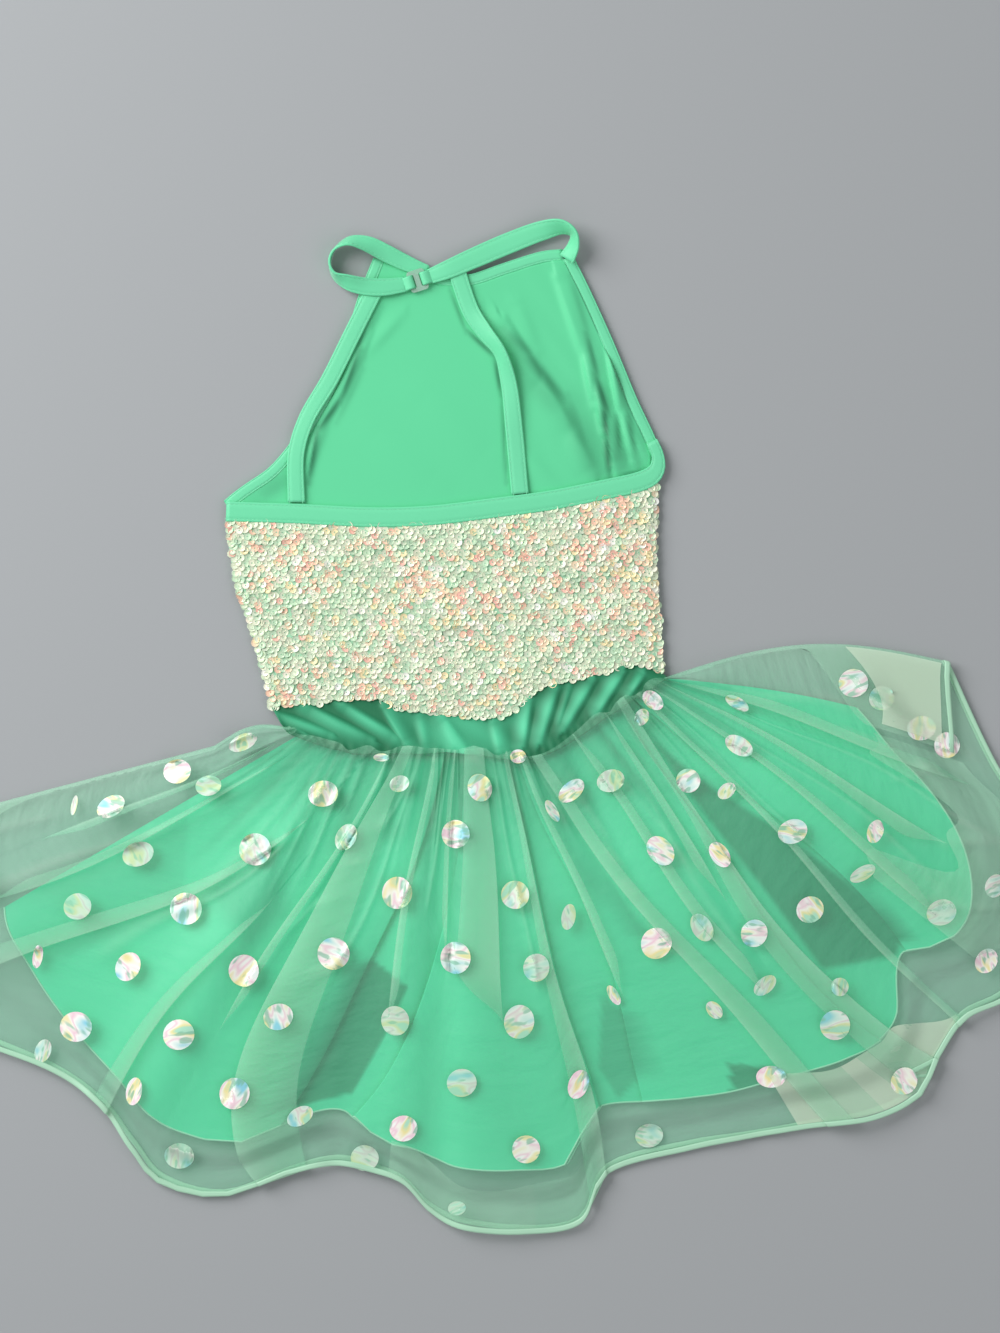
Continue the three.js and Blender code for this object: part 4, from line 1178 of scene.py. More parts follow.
# Painted shade makes it deeper between the pleats, and painted light makes it paler on their crests and in the
# middle.
crest = np.clip(ridges(YOKE_CREASES, x, y) / 2.2, 0, 1)
pressed = 0.9 - 0.8 * crest + 0.1 * np.sin(0.21 * x + 0.3 * y)
pressed -= 0.65 * np.exp(-(((x + 4) / 30) ** 2)) - 0.15
yoke_back = shell_object(
    "yoke_back_cloth", yoke_grid, YOKE_WALL, satin, np.stack([x, y], -1), {"pressed": np.clip(pressed, 0, 1)}
)
dress(yoke_back, "yoke_cloth", "yoke_back")


# Overskirt, front half: dotted organza, half of a part circle, gathered into the waist seam. It lies flat on
# the floor under everything else, and its hem is bound with narrow edging.
def sheet_object(name, grid, material, uv, attributes=()):
    """One surface from a grid of points, for cloth that light passes through."""
    rows, columns = grid.shape[:2]
    flat = {key: np.ravel(values) for key, values in dict(attributes).items()}
    return build(name, grid, grid_faces(rows, columns), material, uv, flat)


# One more layer of cloth on a fold lifts it by this much. Beyond this share a fold's columns aren't nudged
# further.
FOLD_PITCH = 1.5
NUDGE_REACH = 0.85


def skirt_grid(columns, rows, share_of, height_at):
    """Points of a skirt layer, with the row and share of the fan and the painted highlight at each, which is
    strongest at a fold's edge.

    A column is a function of the share, which gives a row, a sideways nudge, a level and that painted highlight,
    and the share of its length that stays under a fold.
    """
    grid = np.zeros((len(rows), len(columns), 3))
    places = np.zeros((len(rows), len(columns), 3))
    for c, (place, tuck) in enumerate(columns):
        share = share_of(rows, place)
        reached = share * mix(1, tuck, share)
        at, nudge, level, crest = place(reached)
        px, py = fan_point(at, reached)
        held = np.minimum(reached, NUDGE_REACH)
        x1, y1 = fan_point(at - 0.05, held)
        x2, y2 = fan_point(at + 0.05, held)
        length = np.hypot(x2 - x1, y2 - y1)
        grid[:, c, 0] = px + (x2 - x1) / length * nudge
        grid[:, c, 1] = py + (y2 - y1) / length * nudge
        grid[:, c, 2] = height_at(at, reached) + level * FOLD_PITCH
        places[:, c] = np.stack([at, reached, crest], -1)
    return grid, places


# Millimetres of cloth for each row of the fan, and from waist to hem.
CUT_ROW, CUT_LENGTH = 12, 290


def cut_uv(places):
    """Places on the unfolded cloth, in millimetres."""
    return np.stack([places[..., 0] * CUT_ROW, places[..., 1] * CUT_LENGTH], -1)


def row_at(place, share):
    """The row of the fan that a column runs along at a share."""
    return float(place(np.array([share]))[0, 0])


def fan_length(place):
    """Length of the overskirt along a column, in millimetres."""
    at = np.array([row_at(place, 1.0)])
    x1, y1 = fan_point(at, np.zeros(1))
    x2, y2 = fan_point(at, np.ones(1))
    return float(np.hypot(x2 - x1, y2 - y1)[0])


def plain_column(row):
    """A column without a fold. It runs along one row of the fan."""
    return lambda share: np.stack([row + 0 * share, 0 * share, 0 * share, 0 * share]), 1.0


def flat_columns(start, end, step):
    """Plain columns from one row of the fan to another."""
    count = round((end - start) / step)
    return [plain_column(mix(start, end, i / count)) for i in range(count + 1)]


# Organza is plain-woven from fine twisted polyester yarn: sheer, crisp and crinkled. Where it lies doubled it
# looks lighter, because two layers cover more, and a painted highlight makes a fold's edge look lightest, where
# light meets the threads end on.
CRINKLE = 11.1
organza, tree, output = new_material("organza_sheer_weave")
cloth_uv = add_node(tree, "ShaderNodeUVMap")
edge_light = add_node(tree, "ShaderNodeAttribute", attribute_name="crest")
crinkle = add_node(
    tree, "ShaderNodeTexNoise", {"Vector": cloth_uv.outputs["UV"], "Scale": 1 / CRINKLE, "Detail": 4.0}
)
bump = add_node(tree, "ShaderNodeBump", {"Height": crinkle.outputs["Fac"], "Strength": 0.5, "Distance": 0.004})
tone = add_node(
    tree,
    "ShaderNodeMix",
    {"Factor": edge_light.outputs["Fac"], "A": linear("#98E4BE"), "B": linear("#BCF0D0")},
    data_type="RGBA",
)
shader = add_node(
    tree,
    "ShaderNodeBsdfPrincipled",
    {
        "Base Color": tone.outputs[2],
        "Roughness": 0.5,
        "Alpha": 0.25,
        "Sheen Weight": 0.15,
        "Sheen Roughness": 0.35,
        "Normal": bump.outputs["Normal"],
    },
)
finish_material(tree, output, shader)

# The hem's edging is narrow woven satin binding: pale mint, closer than the organza, with a soft gloss.
edging, tree, output = new_material("satin_hem_binding")
shader = add_node(
    tree,
    "ShaderNodeBsdfPrincipled",
    {"Base Color": linear("#B4E4C4"), "Roughness": 0.4, "Sheen Weight": 0.4, "Alpha": 0.9},
)
finish_material(tree, output, shader)

EDGING_WIDTH = 3.4
EDGING_WALL = 0.8
HEM_TURN = 2.5
FRONT_ORGANZA_Z = 0.5


def front_share(place):
    """Length of the front half as a share of the back half's, a little uneven."""
    at = row_at(place, 1.0)
    return 0.992 + 0.004 * math.sin(1.7 * at) - 0.05 * math.exp(-(((at - 1.6) / 1.1) ** 2))


front_columns = flat_columns(0, FAN_END, 0.2)
grid, places = skirt_grid(
    front_columns,
    np.linspace(0, 1, 30),
    lambda rows, place: rows * (front_share(place) - HEM_TURN / fan_length(place)),
    lambda at, share: np.full_like(share, FRONT_ORGANZA_Z) + 0 * at,
)
overskirt_front = sheet_object(
    "overskirt_front_organza", grid, organza, cut_uv(places), {"crest": 0 * grid[..., 0]}
)
dress(overskirt_front, "overskirt", "overskirt_front")
grid, places = skirt_grid(
    front_columns,
    np.linspace(0, 1, 4),
    lambda rows, place: front_share(place) - (1 - rows) * EDGING_WIDTH / fan_length(place),
    lambda at, share: np.full_like(share, FRONT_ORGANZA_Z) + 0 * at,
)
edging_front = shell_object("hem_edging_front_binding", grid, EDGING_WALL, edging, cut_uv(places))
dress(edging_front, "edging", "hem_edging_front")


# Underskirt: two halves of soft tricot, each half of a part circle, gathered into the waist seam under the
# organza. The front half lies flat, and the back half has deep box pleats and soft folds.
UNDER_START, UNDER_END = 1.9, 29.2
UNDER_REACH = 0.86
# Soft folds of both upper layers: row at the waist, row at the hem, height, and width in rows.
MIDDLE_RISE = 9
SOFT_FOLDS = [
    (2.4, 2.4, 3, 0.9),
    (5.8, 5.6, 4.5, 1),
    (11.4, 11.8, 3.5, 1),
    (14.4, 14.4, 4, 0.9),
    (19.8, 21.2, 3.5, 0.9),
    (26, 25.8, 3.5, 0.9),
    (27.8, 27.6, 3, 0.8),
]
# Pleats. A fold's visible edge faces left or right, and runs from a row at the waist to a row at the hem,
# with a bow in the middle. Then come its depth at the waist, at the hem and the bow of it, in rows, the share
# of the length that stays under the fold, and the two shares between which it lasts.
WHOLE = (-1, 2)
UNDER_FOLDS = [
    ("right", 12.6, 8, -0.2, 1.1, 0.5, 1.2, 1.0, *WHOLE),
    ("left", 13.9, 9.2, 1, 1, 1.6, 0, 1.0, *WHOLE),
    ("right", 16.4, 17, 0.2, 1, 1.2, 0, 1.0, *WHOLE),
    ("left", 17.2, 17.5, 0.5, 0.8, 1, 0, 1.0, *WHOLE),
    ("right", 23.6, 22.6, -1.3, 0.8, 1, 0, 1.0, *WHOLE),
    ("left", 24.4, 23.8, 0.5, 0.6, 1.2, 0, 1.0, *WHOLE),
]
# A fold's flat margin in millimetres, and the places round its half-turns.
FOLD_MARGIN = 1.5
TURN_DEGREES = (90, 54, 18, -18, -54, -90)


def upper_relief(at, share):
    """Height of the soft folds that both upper layers share, over a skirt that is thick in its middle."""
    inner = np.minimum(share / fan_column(4, at), 1)
    sides = smooth(at, UNDER_START, UNDER_START + 4) * smooth(-at, -UNDER_END, 4 - UNDER_END)
    height = MIDDLE_RISE * sides * np.sin(np.pi * inner) ** 1.5
    for waist_row, hem_row, tall, wide in SOFT_FOLDS:
        away = (at - mix(waist_row, hem_row, share)) / wide
        height = height + tall * smooth(share, 0.05, 0.35) * np.exp(-away * away)
    return height


def window(share, start, end):
    """1 between two shares and 0 outside them, with soft ends."""
    return smooth(share, start - 0.06, start + 0.06) * smooth(-share, -end - 0.06, 0.06 - end)


def half_turn(side, from_level, to_level):
    """Sideways moves and levels of a half-turn between two levels of a fold, bulging towards side."""
    radius = FOLD_PITCH * abs(from_level - to_level) / 2
    turn = []
    for degrees in TURN_DEGREES:
        angle = math.radians(degrees)
        level = (from_level + to_level) / 2 + math.sin(angle) * (from_level - to_level) / 2
        turn.append((side * radius * (math.cos(angle) - 1), level))
    return turn


def fold_columns(faces, waist_row, hem_row, bow, deep_waist, deep_hem, deep_bow, tuck, start, end):
    """The columns of one knife fold, from left to right. Each is a function of the share and a tuck."""
    sign = 1 if faces == "left" else -1

    def column(reach, nudge, level, crest, tuck=1.0):
        def place(share):
            lasts = window(share, start, end)
            deep = sign * (mix(deep_waist, deep_hem, share) + deep_bow * 4 * share * (1 - share))
            sway = 0.09 * np.sin(9 * share + 5 * waist_row) * smooth(share, 0, 0.2)
            at = mix(waist_row, hem_row, share) + bow * 4 * share * (1 - share) + sway + reach * deep * lasts
            return np.stack([at, nudge * lasts, level * lasts, crest * lasts])

        return place, tuck

    columns = [
        column(0, -sign * FOLD_MARGIN, 0, 0),
        column(0.5, 0, 0, 0.2),
        *[column(1, sign * nudge, level, 0.4, tuck) for nudge, level in half_turn(1, 0, 1)],
        *[column(0, sign * nudge, level, 1.0) for nudge, level in half_turn(-1, 1, 2)],
        column(0.5, 0, 2, 0.2),
        column(1, sign * FOLD_MARGIN, 2, 0),
    ]
    return columns if sign > 0 else columns[::-1]


def sheet_columns(start, end, folds, step):
    """The columns of a whole skirt layer: its two ends, its folds, and plain ones between them."""
    groups = [start, *[fold_columns(*fold) for fold in folds], end]
    columns = list(groups[0])
    for group in groups[1:]:
        before, after = columns[-1][0], group[0][0]
        gap = float(after(np.array([0.5]))[0, 0] - before(np.array([0.5]))[0, 0])
        count = max(2, round(gap / step))
        for i in range(1, count):
            columns.append((lambda share, a=before, b=after, t=i / count: mix(a(share), b(share), t), 1.0))
        columns.extend(group)
    return columns


def under_length(place):
    """Length of the underskirt along a column, as a share of the overskirt's."""
    return float(fan_column(4, np.array([row_at(place, UNDER_REACH)]))[0])


# The cloth is brushed warp-knitted tricot: matt, soft, and clear mint where several layers lie together.
# Where only one lies over the floor, and between the gathers at the waist, painted shade makes it deeper.
soft_tricot, tree, output = new_material("underskirt_tricot_knit")
layers = add_node(tree, "ShaderNodeAttribute", attribute_name="layers")
tone = add_node(
    tree,
    "ShaderNodeMix",
    {"Factor": layers.outputs["Fac"], "A": linear("#0A9468"), "B": linear("#46E4AC")},
    data_type="RGBA",
)
shader = add_node(
    tree,
    "ShaderNodeBsdfPrincipled",
    {
        "Base Color": tone.outputs[2],
        "Roughness": 0.6,
        "Alpha": 0.94,
        "Sheen Weight": 0.2,
        "Sheen Roughness": 0.5,
    },
)
finish_material(tree, output, shader)

# Places where only one layer lies over the floor, painted with shade: tone, softness of the edge, and the
# outline.
PAINTED_SHADE_PLACES = [
    (0.0, 2.5, [(-118, -210), (-96, -169), (-59, -124), (-37, -141), (-51, -171), (-70, -205), (-102, -213)]),
    (0.62, 16.0, [(-119, -52), (-160, -82), (-133, -115), (-107, -97)]),
    (0.5, 6.0, [(55, -45), (74, -64), (107, -109), (98, -112), (70, -79)]),
    (0.42, 4.0, [(79, -146), (101, -164), (100, -198), (89, -209), (77, -190)]),
    (0.0, 1.5, [(155, -187), (178, -190), (174, -205), (157, -207)]),
    (
        0.02,
        5.0,
        [
            (111, 4),
            (140, -38),
            (178, -86),
            (211, -131),
            (256, -123),
            (259, -109),
            (226, -79),
            (181, -45),
            (140, -19),
        ],
    ),
    (0.8, 5.0, [(-290, -30), (-168, -24), (-171, -84), (-159, -87), (-246, -126), (-290, -130)]),
]
WAIST_SHADES = 34


def painted_light_at(grid, places):
    """Painted light at each place: 1 is unshaded, where many layers lie, and 0 deep painted shade, where one
    lies.
    Painted shade also deepens it between the gathers at the waist and near the waist.
    """
    x, y = grid[..., 0], grid[..., 1]
    tone = np.ones_like(x)
    rng = np.random.default_rng(9)
    for row in np.linspace(2.5, 28.5, WAIST_SHADES) + rng.normal(0, 0.25, WAIST_SHADES):
        reach, wide = rng.uniform(0.2, 0.6), rng.uniform(0.12, 0.3)
        away = (places[..., 0] - row - rng.normal(0, 0.5) * places[..., 1]) / wide
        tone -= rng.uniform(0.2, 0.6) * (1 - smooth(places[..., 1], 0.02, reach)) * np.exp(-away * away)
    tone = np.clip(tone, 0.15, 1) * mix(0.62, 1, smooth(places[..., 1], 0, 0.3))
    for value, soft, outline in PAINTED_SHADE_PLACES:
        ring = np.asarray(outline, float)
        near = np.full_like(x, 1e9)
        for (x1, y1), (x2, y2) in zip(ring, np.roll(ring, -1, axis=0)):
            dx, dy = x2 - x1, y2 - y1
            t = np.clip(((x - x1) * dx + (y - y1) * dy) / (dx * dx + dy * dy), 0, 1)
            near = np.minimum(near, np.hypot(x - x1 - t * dx, y - y1 - t * dy))
        signed = np.where(inside(x, y, outline), near, -near)
        tone = mix(tone, value, smooth(signed, -soft / 2, soft / 2))
    return tone


UNDER_FRONT_Z = 1.8
UNDER_FRONT_SHARE = 0.965
# The front half lies beneath the back half, so its whole tone is painted shade.
UNDER_FRONT_TONE = 0.6
grid, places = skirt_grid(
    flat_columns(UNDER_START, UNDER_END, 0.25),
    np.linspace(0, 1, 24),
    lambda rows, place: rows * under_length(place) * UNDER_FRONT_SHARE,
    lambda at, share: np.full_like(share, UNDER_FRONT_Z) + 0 * at,
)
front_tones = np.full(grid.shape[:2], UNDER_FRONT_TONE)
underskirt_front = sheet_object(
    "underskirt_front_tricot", grid, soft_tricot, cut_uv(places), {"layers": front_tones}
)
dress(underskirt_front, "underskirt", "underskirt_front")

UNDER_BACK_Z = 3.1
under_grid, places = skirt_grid(
    sheet_columns([plain_column(UNDER_START)], [plain_column(UNDER_END)], UNDER_FOLDS, 0.1),
    np.linspace(0, 1, 84),
    lambda rows, place: rows * under_length(place),
    lambda at, share: UNDER_BACK_Z + upper_relief(at, share),
)
back_tones = painted_light_at(under_grid, places)
underskirt_back = sheet_object(
    "underskirt_back_tricot", under_grid, soft_tricot, cut_uv(places), {"layers": back_tones}
)
dress(underskirt_back, "underskirt", "underskirt_back")

# Rolled hem: the underskirt's raw edge is turned to a thin roll and overlocked, so it looks lighter and
# closer than the cloth.
ROLL_RADIUS = 0.55
ROLL_SIDES = 6
rolled, tree, output = new_material("rolled_tricot_hem")
shader = add_node(tree, "ShaderNodeBsdfPrincipled", {"Base Color": linear("#A5E3C2"), "Roughness": 0.5})
finish_material(tree, output, shader)
ring = np.radians(np.arange(0, 360, 360 // ROLL_SIDES))
hem = under_grid[-1]
ahead = np.gradient(hem, axis=0)
ahead /= np.maximum(np.linalg.norm(ahead, axis=1), 1e-9)[:, None]
side = np.cross(ahead, (0, 0, 1.0))
side /= np.maximum(np.linalg.norm(side, axis=1), 1e-9)[:, None]
up = np.cross(side, ahead)
outward = np.cos(ring)[None, :, None] * side[:, None] + np.sin(ring)[None, :, None] * up[:, None]
tube = hem[:, None] + ROLL_RADIUS * outward
start = np.arange(len(hem) - 1)[:, None] * ROLL_SIDES
here = np.arange(ROLL_SIDES)
after = (here + 1) % ROLL_SIDES
corners = [start + here, start + after, start + after + ROLL_SIDES, start + here + ROLL_SIDES]
tube_faces = np.stack(corners, -1).reshape(-1, 4)
hem_roll = dress(build("underskirt_rolled_hem", tube, tube_faces, rolled), "underskirt")


# Overskirt, back half: half of a part circle of dotted organza over the underskirt, with knife folds, narrow
# folds and gathers at the waist seam. Its two ends are turned over on top. It is laid out from columns of the
# fan, as the underskirt is.
OVER_FOLDS = [
    ("left", 1.5, 0.7, 0.1, 0.2, 0.18, 0, 1.0, 0.06, 0.5),
    ("right", 3.2, 1.6, -0.4, 0.2, 0.22, 0, 1.0, 0.1, 0.65),
    ("right", 8.1, 2.7, -1.7, 0.12, 0.3, 0.15, 1.0, 0.2, 1.6),
    ("right", 8.6, 5.1, -1.1, 0.2, 0.35, 0, 1.0, 0.4, 1.6),
    ("left", 9.0, 6.6, -0.8, 0.2, 0.3, 0, 1.0, 0.04, 0.6),
    ("left", 9.6, 8.5, -1.5, 0.7, 0.8, 0.5, 1.0, *WHOLE),
    ("left", 11.7, 11.2, -0.6, 0.35, 0.3, 0, 1.0, 0.01, 0.6),
    ("right", 13.3, 12.9, 0, 0.3, 0.3, 0, 1.0, 0.02, 0.4),
    ("right", 15.05, 15.1, 0, 1.2, 1.5, 0, 1.0, -1, 0.5),
    ("right", 16.5, 17, 0.1, 0.5, 0.6, 0, 1.0, *WHOLE),
    ("left", 17.4, 18.4, 0, 0.22, 0.25, 0, 1.0, -1, 0.55),
    ("left", 18, 20.4, 0.2, 0.5, 0.4, 0, 1.0, *WHOLE),
    ("left", 20.2, 21.3, -0.3, 0.3, 0.3, 0, 1.0, 0.02, 0.62),
    ("right", 22.4, 21.7, -0.9, 0.35, 0.3, 0, 1.0, 0.01, 0.4),
    ("right", 24, 23, -1.4, 0.5, 0.9, 0, 0.95, *WHOLE),
    ("left", 24.8, 23.7, -0.2, 0.35, 0.16, 0, 1.0, *WHOLE),
    ("left", 26.2, 25.2, 0, 0.3, 0.3, 0, 1.0, 0.02, 0.72),
    ("right", 27.6, 26.5, 0, 0.3, 0.4, 0, 1.0, 0.03, 0.66),
    ("left", 28.7, 28.3, 0, 0.3, 0.4, 0, 1.0, 0.04, 0.8),
]
# Narrow folds of the organza alone: the rows at its two ends, the shares where it starts and ends, height and
# width.
NARROW_FOLDS = [
    (10.8, 8.3, 0.06, 0.62, 2.2, 0.13),
    (10.2, 7.6, 0.08, 0.4, 2.0, 0.12),
    (4.6, 3.6, 0.1, 0.7, 1.8, 0.16),
    (6.0, 4.2, 0.08, 0.5, 1.8, 0.14),
    (2.3, 1.2, 0.3, 0.9, 2.0, 0.16),
    (0.9, 0.4, 0.5, 0.95, 2.2, 0.14),
    (1.3, 1.6, 0.7, 1.0, 2.0, 0.16),
    (12.5, 12.2, 0.03, 0.36, 1.8, 0.13),
    (14.3, 14.2, 0.02, 0.3, 1.6, 0.12),
    (15.7, 15.8, 0.02, 0.5, 1.8, 0.12),
    (18.9, 19.6, 0.04, 0.55, 2.0, 0.13),
    (20.9, 20.9, 0.03, 0.4, 2.0, 0.12),
    (21.5, 20.7, 0.04, 0.56, 2.0, 0.12),
    (23.2, 22.6, 0.02, 0.3, 1.8, 0.12),
    (25.4, 24.6, 0.04, 0.5, 1.8, 0.12),
    (26.9, 26.0, 0.05, 0.8, 2.2, 0.1),
    (28.1, 27.5, 0.1, 0.86, 2.4, 0.09),
    (29.3, 29.0, 0.05, 0.6, 2.4, 0.12),
    (28.9, 28.2, 0.5, 0.8, 2.4, 0.08),
    (27.6, 28.6, 0.58, 0.8, 2.2, 0.08),
    (26.4, 27.4, 0.66, 0.86, 2.2, 0.07),
    (29.6, 28.9, 0.62, 0.95, 2.4, 0.09),
    (25.6, 26.6, 0.7, 0.9, 2.0, 0.08),
]
# The row of the grid, as a share, that lies over the underskirt's hem.
UNDER_ROW = 0.75
OVER_FLOOR_Z = 2.1
OVER_TRICOT_Z = 8.6
SEAM_PUFF = 2.4


def body_share(rows, place):
    """Shares of the overskirt's rows. Between its gathers it puffs a little over the waist seam."""
    under = under_length(place)
    beyond = mix(under, 1, (rows - UNDER_ROW) / (1 - UNDER_ROW))
    share = np.where(rows < UNDER_ROW, under * rows / UNDER_ROW, beyond)
    at = row_at(place, 0.0)
    puff = 0.009 + 0.007 * math.sin(1.9 * at + 1.5 * math.sin(0.8 * at))
    return share * (1 - HEM_TURN / fan_length(place)) - puff * (1 - smooth(share, 0, 0.06))


# The turned-over ends: depth in rows, the shares where the turn begins and is whole, and the share of the
# length kept.
FLAP_LEFT = (0.8, 0.55, 0.8, 0.9)
FLAP_RIGHT = (0.95, 0.46, 0.6, 0.86)


def flap_columns(row, flap, side):
    """The turned-over end of the layer, from its free edge to the side fold."""
    deep, start_share, end_share, tuck = flap

    def column(reach, nudge, level, crest, tuck=1.0):
        def place(share):
            at = row + side * deep * smooth(share, start_share, end_share) * reach
            return np.stack([at, nudge + 0 * share, level + 0 * share, crest + 0 * share])

        return place, tuck

    columns = [column(reach, side * 2.5, 2, 1.0, mix(1, tuck, reach)) for reach in (1, 0.8, 0.6, 0.4, 0.2)]
    columns += [column(0, -side * nudge, level, 1.0) for nudge, level in half_turn(1, 2, 0)]
    return columns if side > 0 else columns[::-1]


over_columns = sheet_columns(
    flap_columns(0, FLAP_LEFT, 1), flap_columns(FAN_END, FLAP_RIGHT, -1), OVER_FOLDS, 0.085
)
# Gathers at the waist: row at the seam, row that it drifts to, the share that it reaches, height and width.
GATHER_RIDGES = 50
rng = np.random.default_rng(21)
gather_rows = np.sort(np.linspace(0.4, 29.6, GATHER_RIDGES) + rng.normal(0, 0.16, GATHER_RIDGES))
GATHERS = [
    (row, row + rng.normal(0, 0.6), rng.uniform(0.12, 0.5), rng.uniform(1.4, 3.0), rng.uniform(0.11, 0.2))
    for row in gather_rows
]


def fine_folds(at, share):
    """Height of the gathers at the waist and of the narrow folds."""
    height = 0 * at
    for row, drift_row, reach, tall, wide in GATHERS:
        away = (at - mix(row, drift_row, np.clip(share / 0.5, 0, 1))) / wide
        height = height + tall * (1 - smooth(share, 0.03, reach)) * np.exp(-away * away)
    for waist_row, hem_row, from_share, to_share, tall, wide in NARROW_FOLDS:
        sway = 0.16 * np.sin(11 * share + 5 * waist_row)
        away = (at - sway - mix(waist_row, hem_row, (share - from_share) / (to_share - from_share))) / wide
        height = height + tall * window(share, from_share, to_share) * np.exp(-away * away)
    return height


def over_height(at, share):
    """Height of the organza: over the underskirt, low beyond it, and puffed over the waist seam."""
    under = fan_column(4, at)
    beyond = smooth(share, mix(under, 1, 0.18), mix(under, 1, 0.55))
    left = smooth(at, 0.2, UNDER_START - 0.2)
    right = smooth(-at, 0.1 - FAN_END, -UNDER_END - 0.1)
    side = mix(1, np.minimum(left, right), smooth(share, 0.1, 0.35))
    ripple = 0.5 * np.sin(2.9 * at + 3.1 * np.sin(1.3 * at)) * smooth(share, 0.6, 1)
    base = mix(OVER_FLOOR_Z, OVER_TRICOT_Z, side * (1 - beyond)) + upper_relief(at, np.maximum(share, 0))
    return base + fine_folds(at, share) + ripple + 0.5 + SEAM_PUFF * (1 - smooth(share, -0.004, 0.05))


over_rows = np.concatenate(
    [np.linspace(0, UNDER_ROW, 78, endpoint=False), np.linspace(UNDER_ROW, 1, 26)]
)
over_grid, places = skirt_grid(over_columns, over_rows, body_share, over_height)
# Puckers along the waist seam: x1, y1, x2, y2, height, and width to the left and to the right.
PUCKERS = [
    (-114, 21, -88, 6, 1.0, 2.0, 1.4),
    (-92, 8, -66, -2, 1.3, 2.2, 1.5),
    (-68, -1, -40, -7, 1.4, 2.2, 1.6),
    (-44, -6, -8, -5, 1.2, 1.8, 2.2),
    (-74, 6, -48, 2, 1.0, 1.6, 1.4),
    (-50, 2, -22, 4, 0.8, 1.4, 1.4),
    (-24, 4, -4, -5, 1.2, 1.4, 1.8),
    (-6, -6, 28, 1, 1.2, 1.6, 2.2),
    (-5, -5, 6, -34, 1.0, 1.8, 1.4),
    (24, 0, 66, 13, 1.2, 1.6, 2.2),
    (62, 12, 98, 33, 1.2, 1.6, 2.2),
    (30, 3, 40, -14, 0.8, 1.4, 1.4),
    (94, 30, 110, 42, 1.0, 1.6, 1.8),
]
puckers = ridges(PUCKERS, over_grid[..., 0], over_grid[..., 1])
over_grid[..., 2] += 1.1 * puckers
# A painted highlight lies on the folds' edges, the doubled hem round PALE_HEM and the puckers, where light
# catches them.
PALE_HEM = (245, -208)
from_pale = np.hypot(over_grid[..., 0] - PALE_HEM[0], (over_grid[..., 1] - PALE_HEM[1]) * 1.6)
pale = (1 - smooth(from_pale, 24, 60)) * 0.9
crest = np.maximum(places[..., 2], smooth(fine_folds(places[..., 0], places[..., 1]), 0.6, 2.4))
crest *= mix(0.3, 1, smooth(places[..., 1], 0.04, 0.4))
crest = np.maximum(crest, pale * smooth(places[..., 1], 0.84, 0.9))
crest = np.maximum(crest, 0.7 * np.clip(puckers, 0, 1))
overskirt_back = sheet_object("overskirt_back_organza", over_grid, organza, cut_uv(places), {"crest": crest})
dress(overskirt_back, "overskirt", "overskirt_back")


# Doubled organza: stretches where the overskirt is folded on itself, at the hem, on the turned-over end and
# along its right side. They are the same cloth, so they are shown as one more layer that lies just above it.
# Organza folded several times and pressed flat is closer than a single layer, and it is paler partly for its
# layers and partly by painted light, for the light they pass on.
pressed_organza, tree, output = new_material("organza_pressed_layers")
shader = add_node(
    tree,
    "ShaderNodeBsdfPrincipled",
    {"Base Color": linear("#E9FAE0"), "Roughness": 0.5, "Alpha": 0.48, "Sheen Weight": 0.15},
)
finish_material(tree, output, shader)


def lobe_share(rows, place):
    """The pale lobe at the hem, on the right: from the underskirt's hem down, and narrower at its right end."""
    at = row_at(place, 1.0)
    return mix(0.862 + 0.004 * math.sin(4 * at) + 0.11 * float(smooth(at, 22.4, 23.9)), 0.987, rows)


DOUBLED_LIFT = 0.25
grid, places = skirt_grid(
    flat_columns(11.5, 16.7, 0.1),
    np.linspace(0, 1, 14),
    lambda rows, place: mix(0.9 + 0.01 * math.sin(2.3 * row_at(place, 1.0)), 0.987, rows),
    lambda at, share: over_height(at, share) + DOUBLED_LIFT,
)
# This doubled stretch carries a painted highlight all over: its crest is 1.
layer = sheet_object("overskirt_hem_fold", grid, organza, cut_uv(places), {"crest": 0 * grid[..., 0] + 1})
dress(layer, "overskirt")
grid, places = skirt_grid(
    flat_columns(19.9, 23.9, 0.1),
    np.linspace(0, 1, 14),
    lobe_share,
    lambda at, share: over_height(at, share) + DOUBLED_LIFT,
)
layer = sheet_object("overskirt_hem_lobe", grid, pressed_organza, cut_uv(places))
dress(layer, "overskirt")


FLAP_ROWS = (29.08, 29.94)


def flap_share(rows, place):
    """A second layer on the turned-over right end, with a slanting lower edge."""
    across = (row_at(place, 1.0) - FLAP_ROWS[0]) / (FLAP_ROWS[1] - FLAP_ROWS[0])
    return mix(0.65 + 0.03 * math.sin(4 * across), mix(0.83, 0.965, across), rows)


grid, places = skirt_grid(
    flat_columns(*FLAP_ROWS, 0.04),
    np.linspace(0, 1, 24),
    flap_share,
    lambda at, share: over_height(at, share) + 2 * FOLD_PITCH + 0.8,
)
layer = sheet_object("overskirt_flap_layer", grid, pressed_organza, cut_uv(places))
dress(layer, "overskirt")


def side_share(rows, place):
    """A loose fold along the right side, with a wavy inner edge."""
    at = row_at(place, 1.0)
    inner = 0.66 + 0.09 * math.sin(1.9 * at + 0.6) + 0.04 * math.sin(5.3 * at)
    return mix(inner, 0.97 - 0.05 * abs(at - 27), rows)


grid, places = skirt_grid(
    flat_columns(25.2, 28.9, 0.1),
    np.linspace(0, 1, 30),
    side_share,
    lambda at, share: over_height(at, share) + 0.9 * FOLD_PITCH,
)
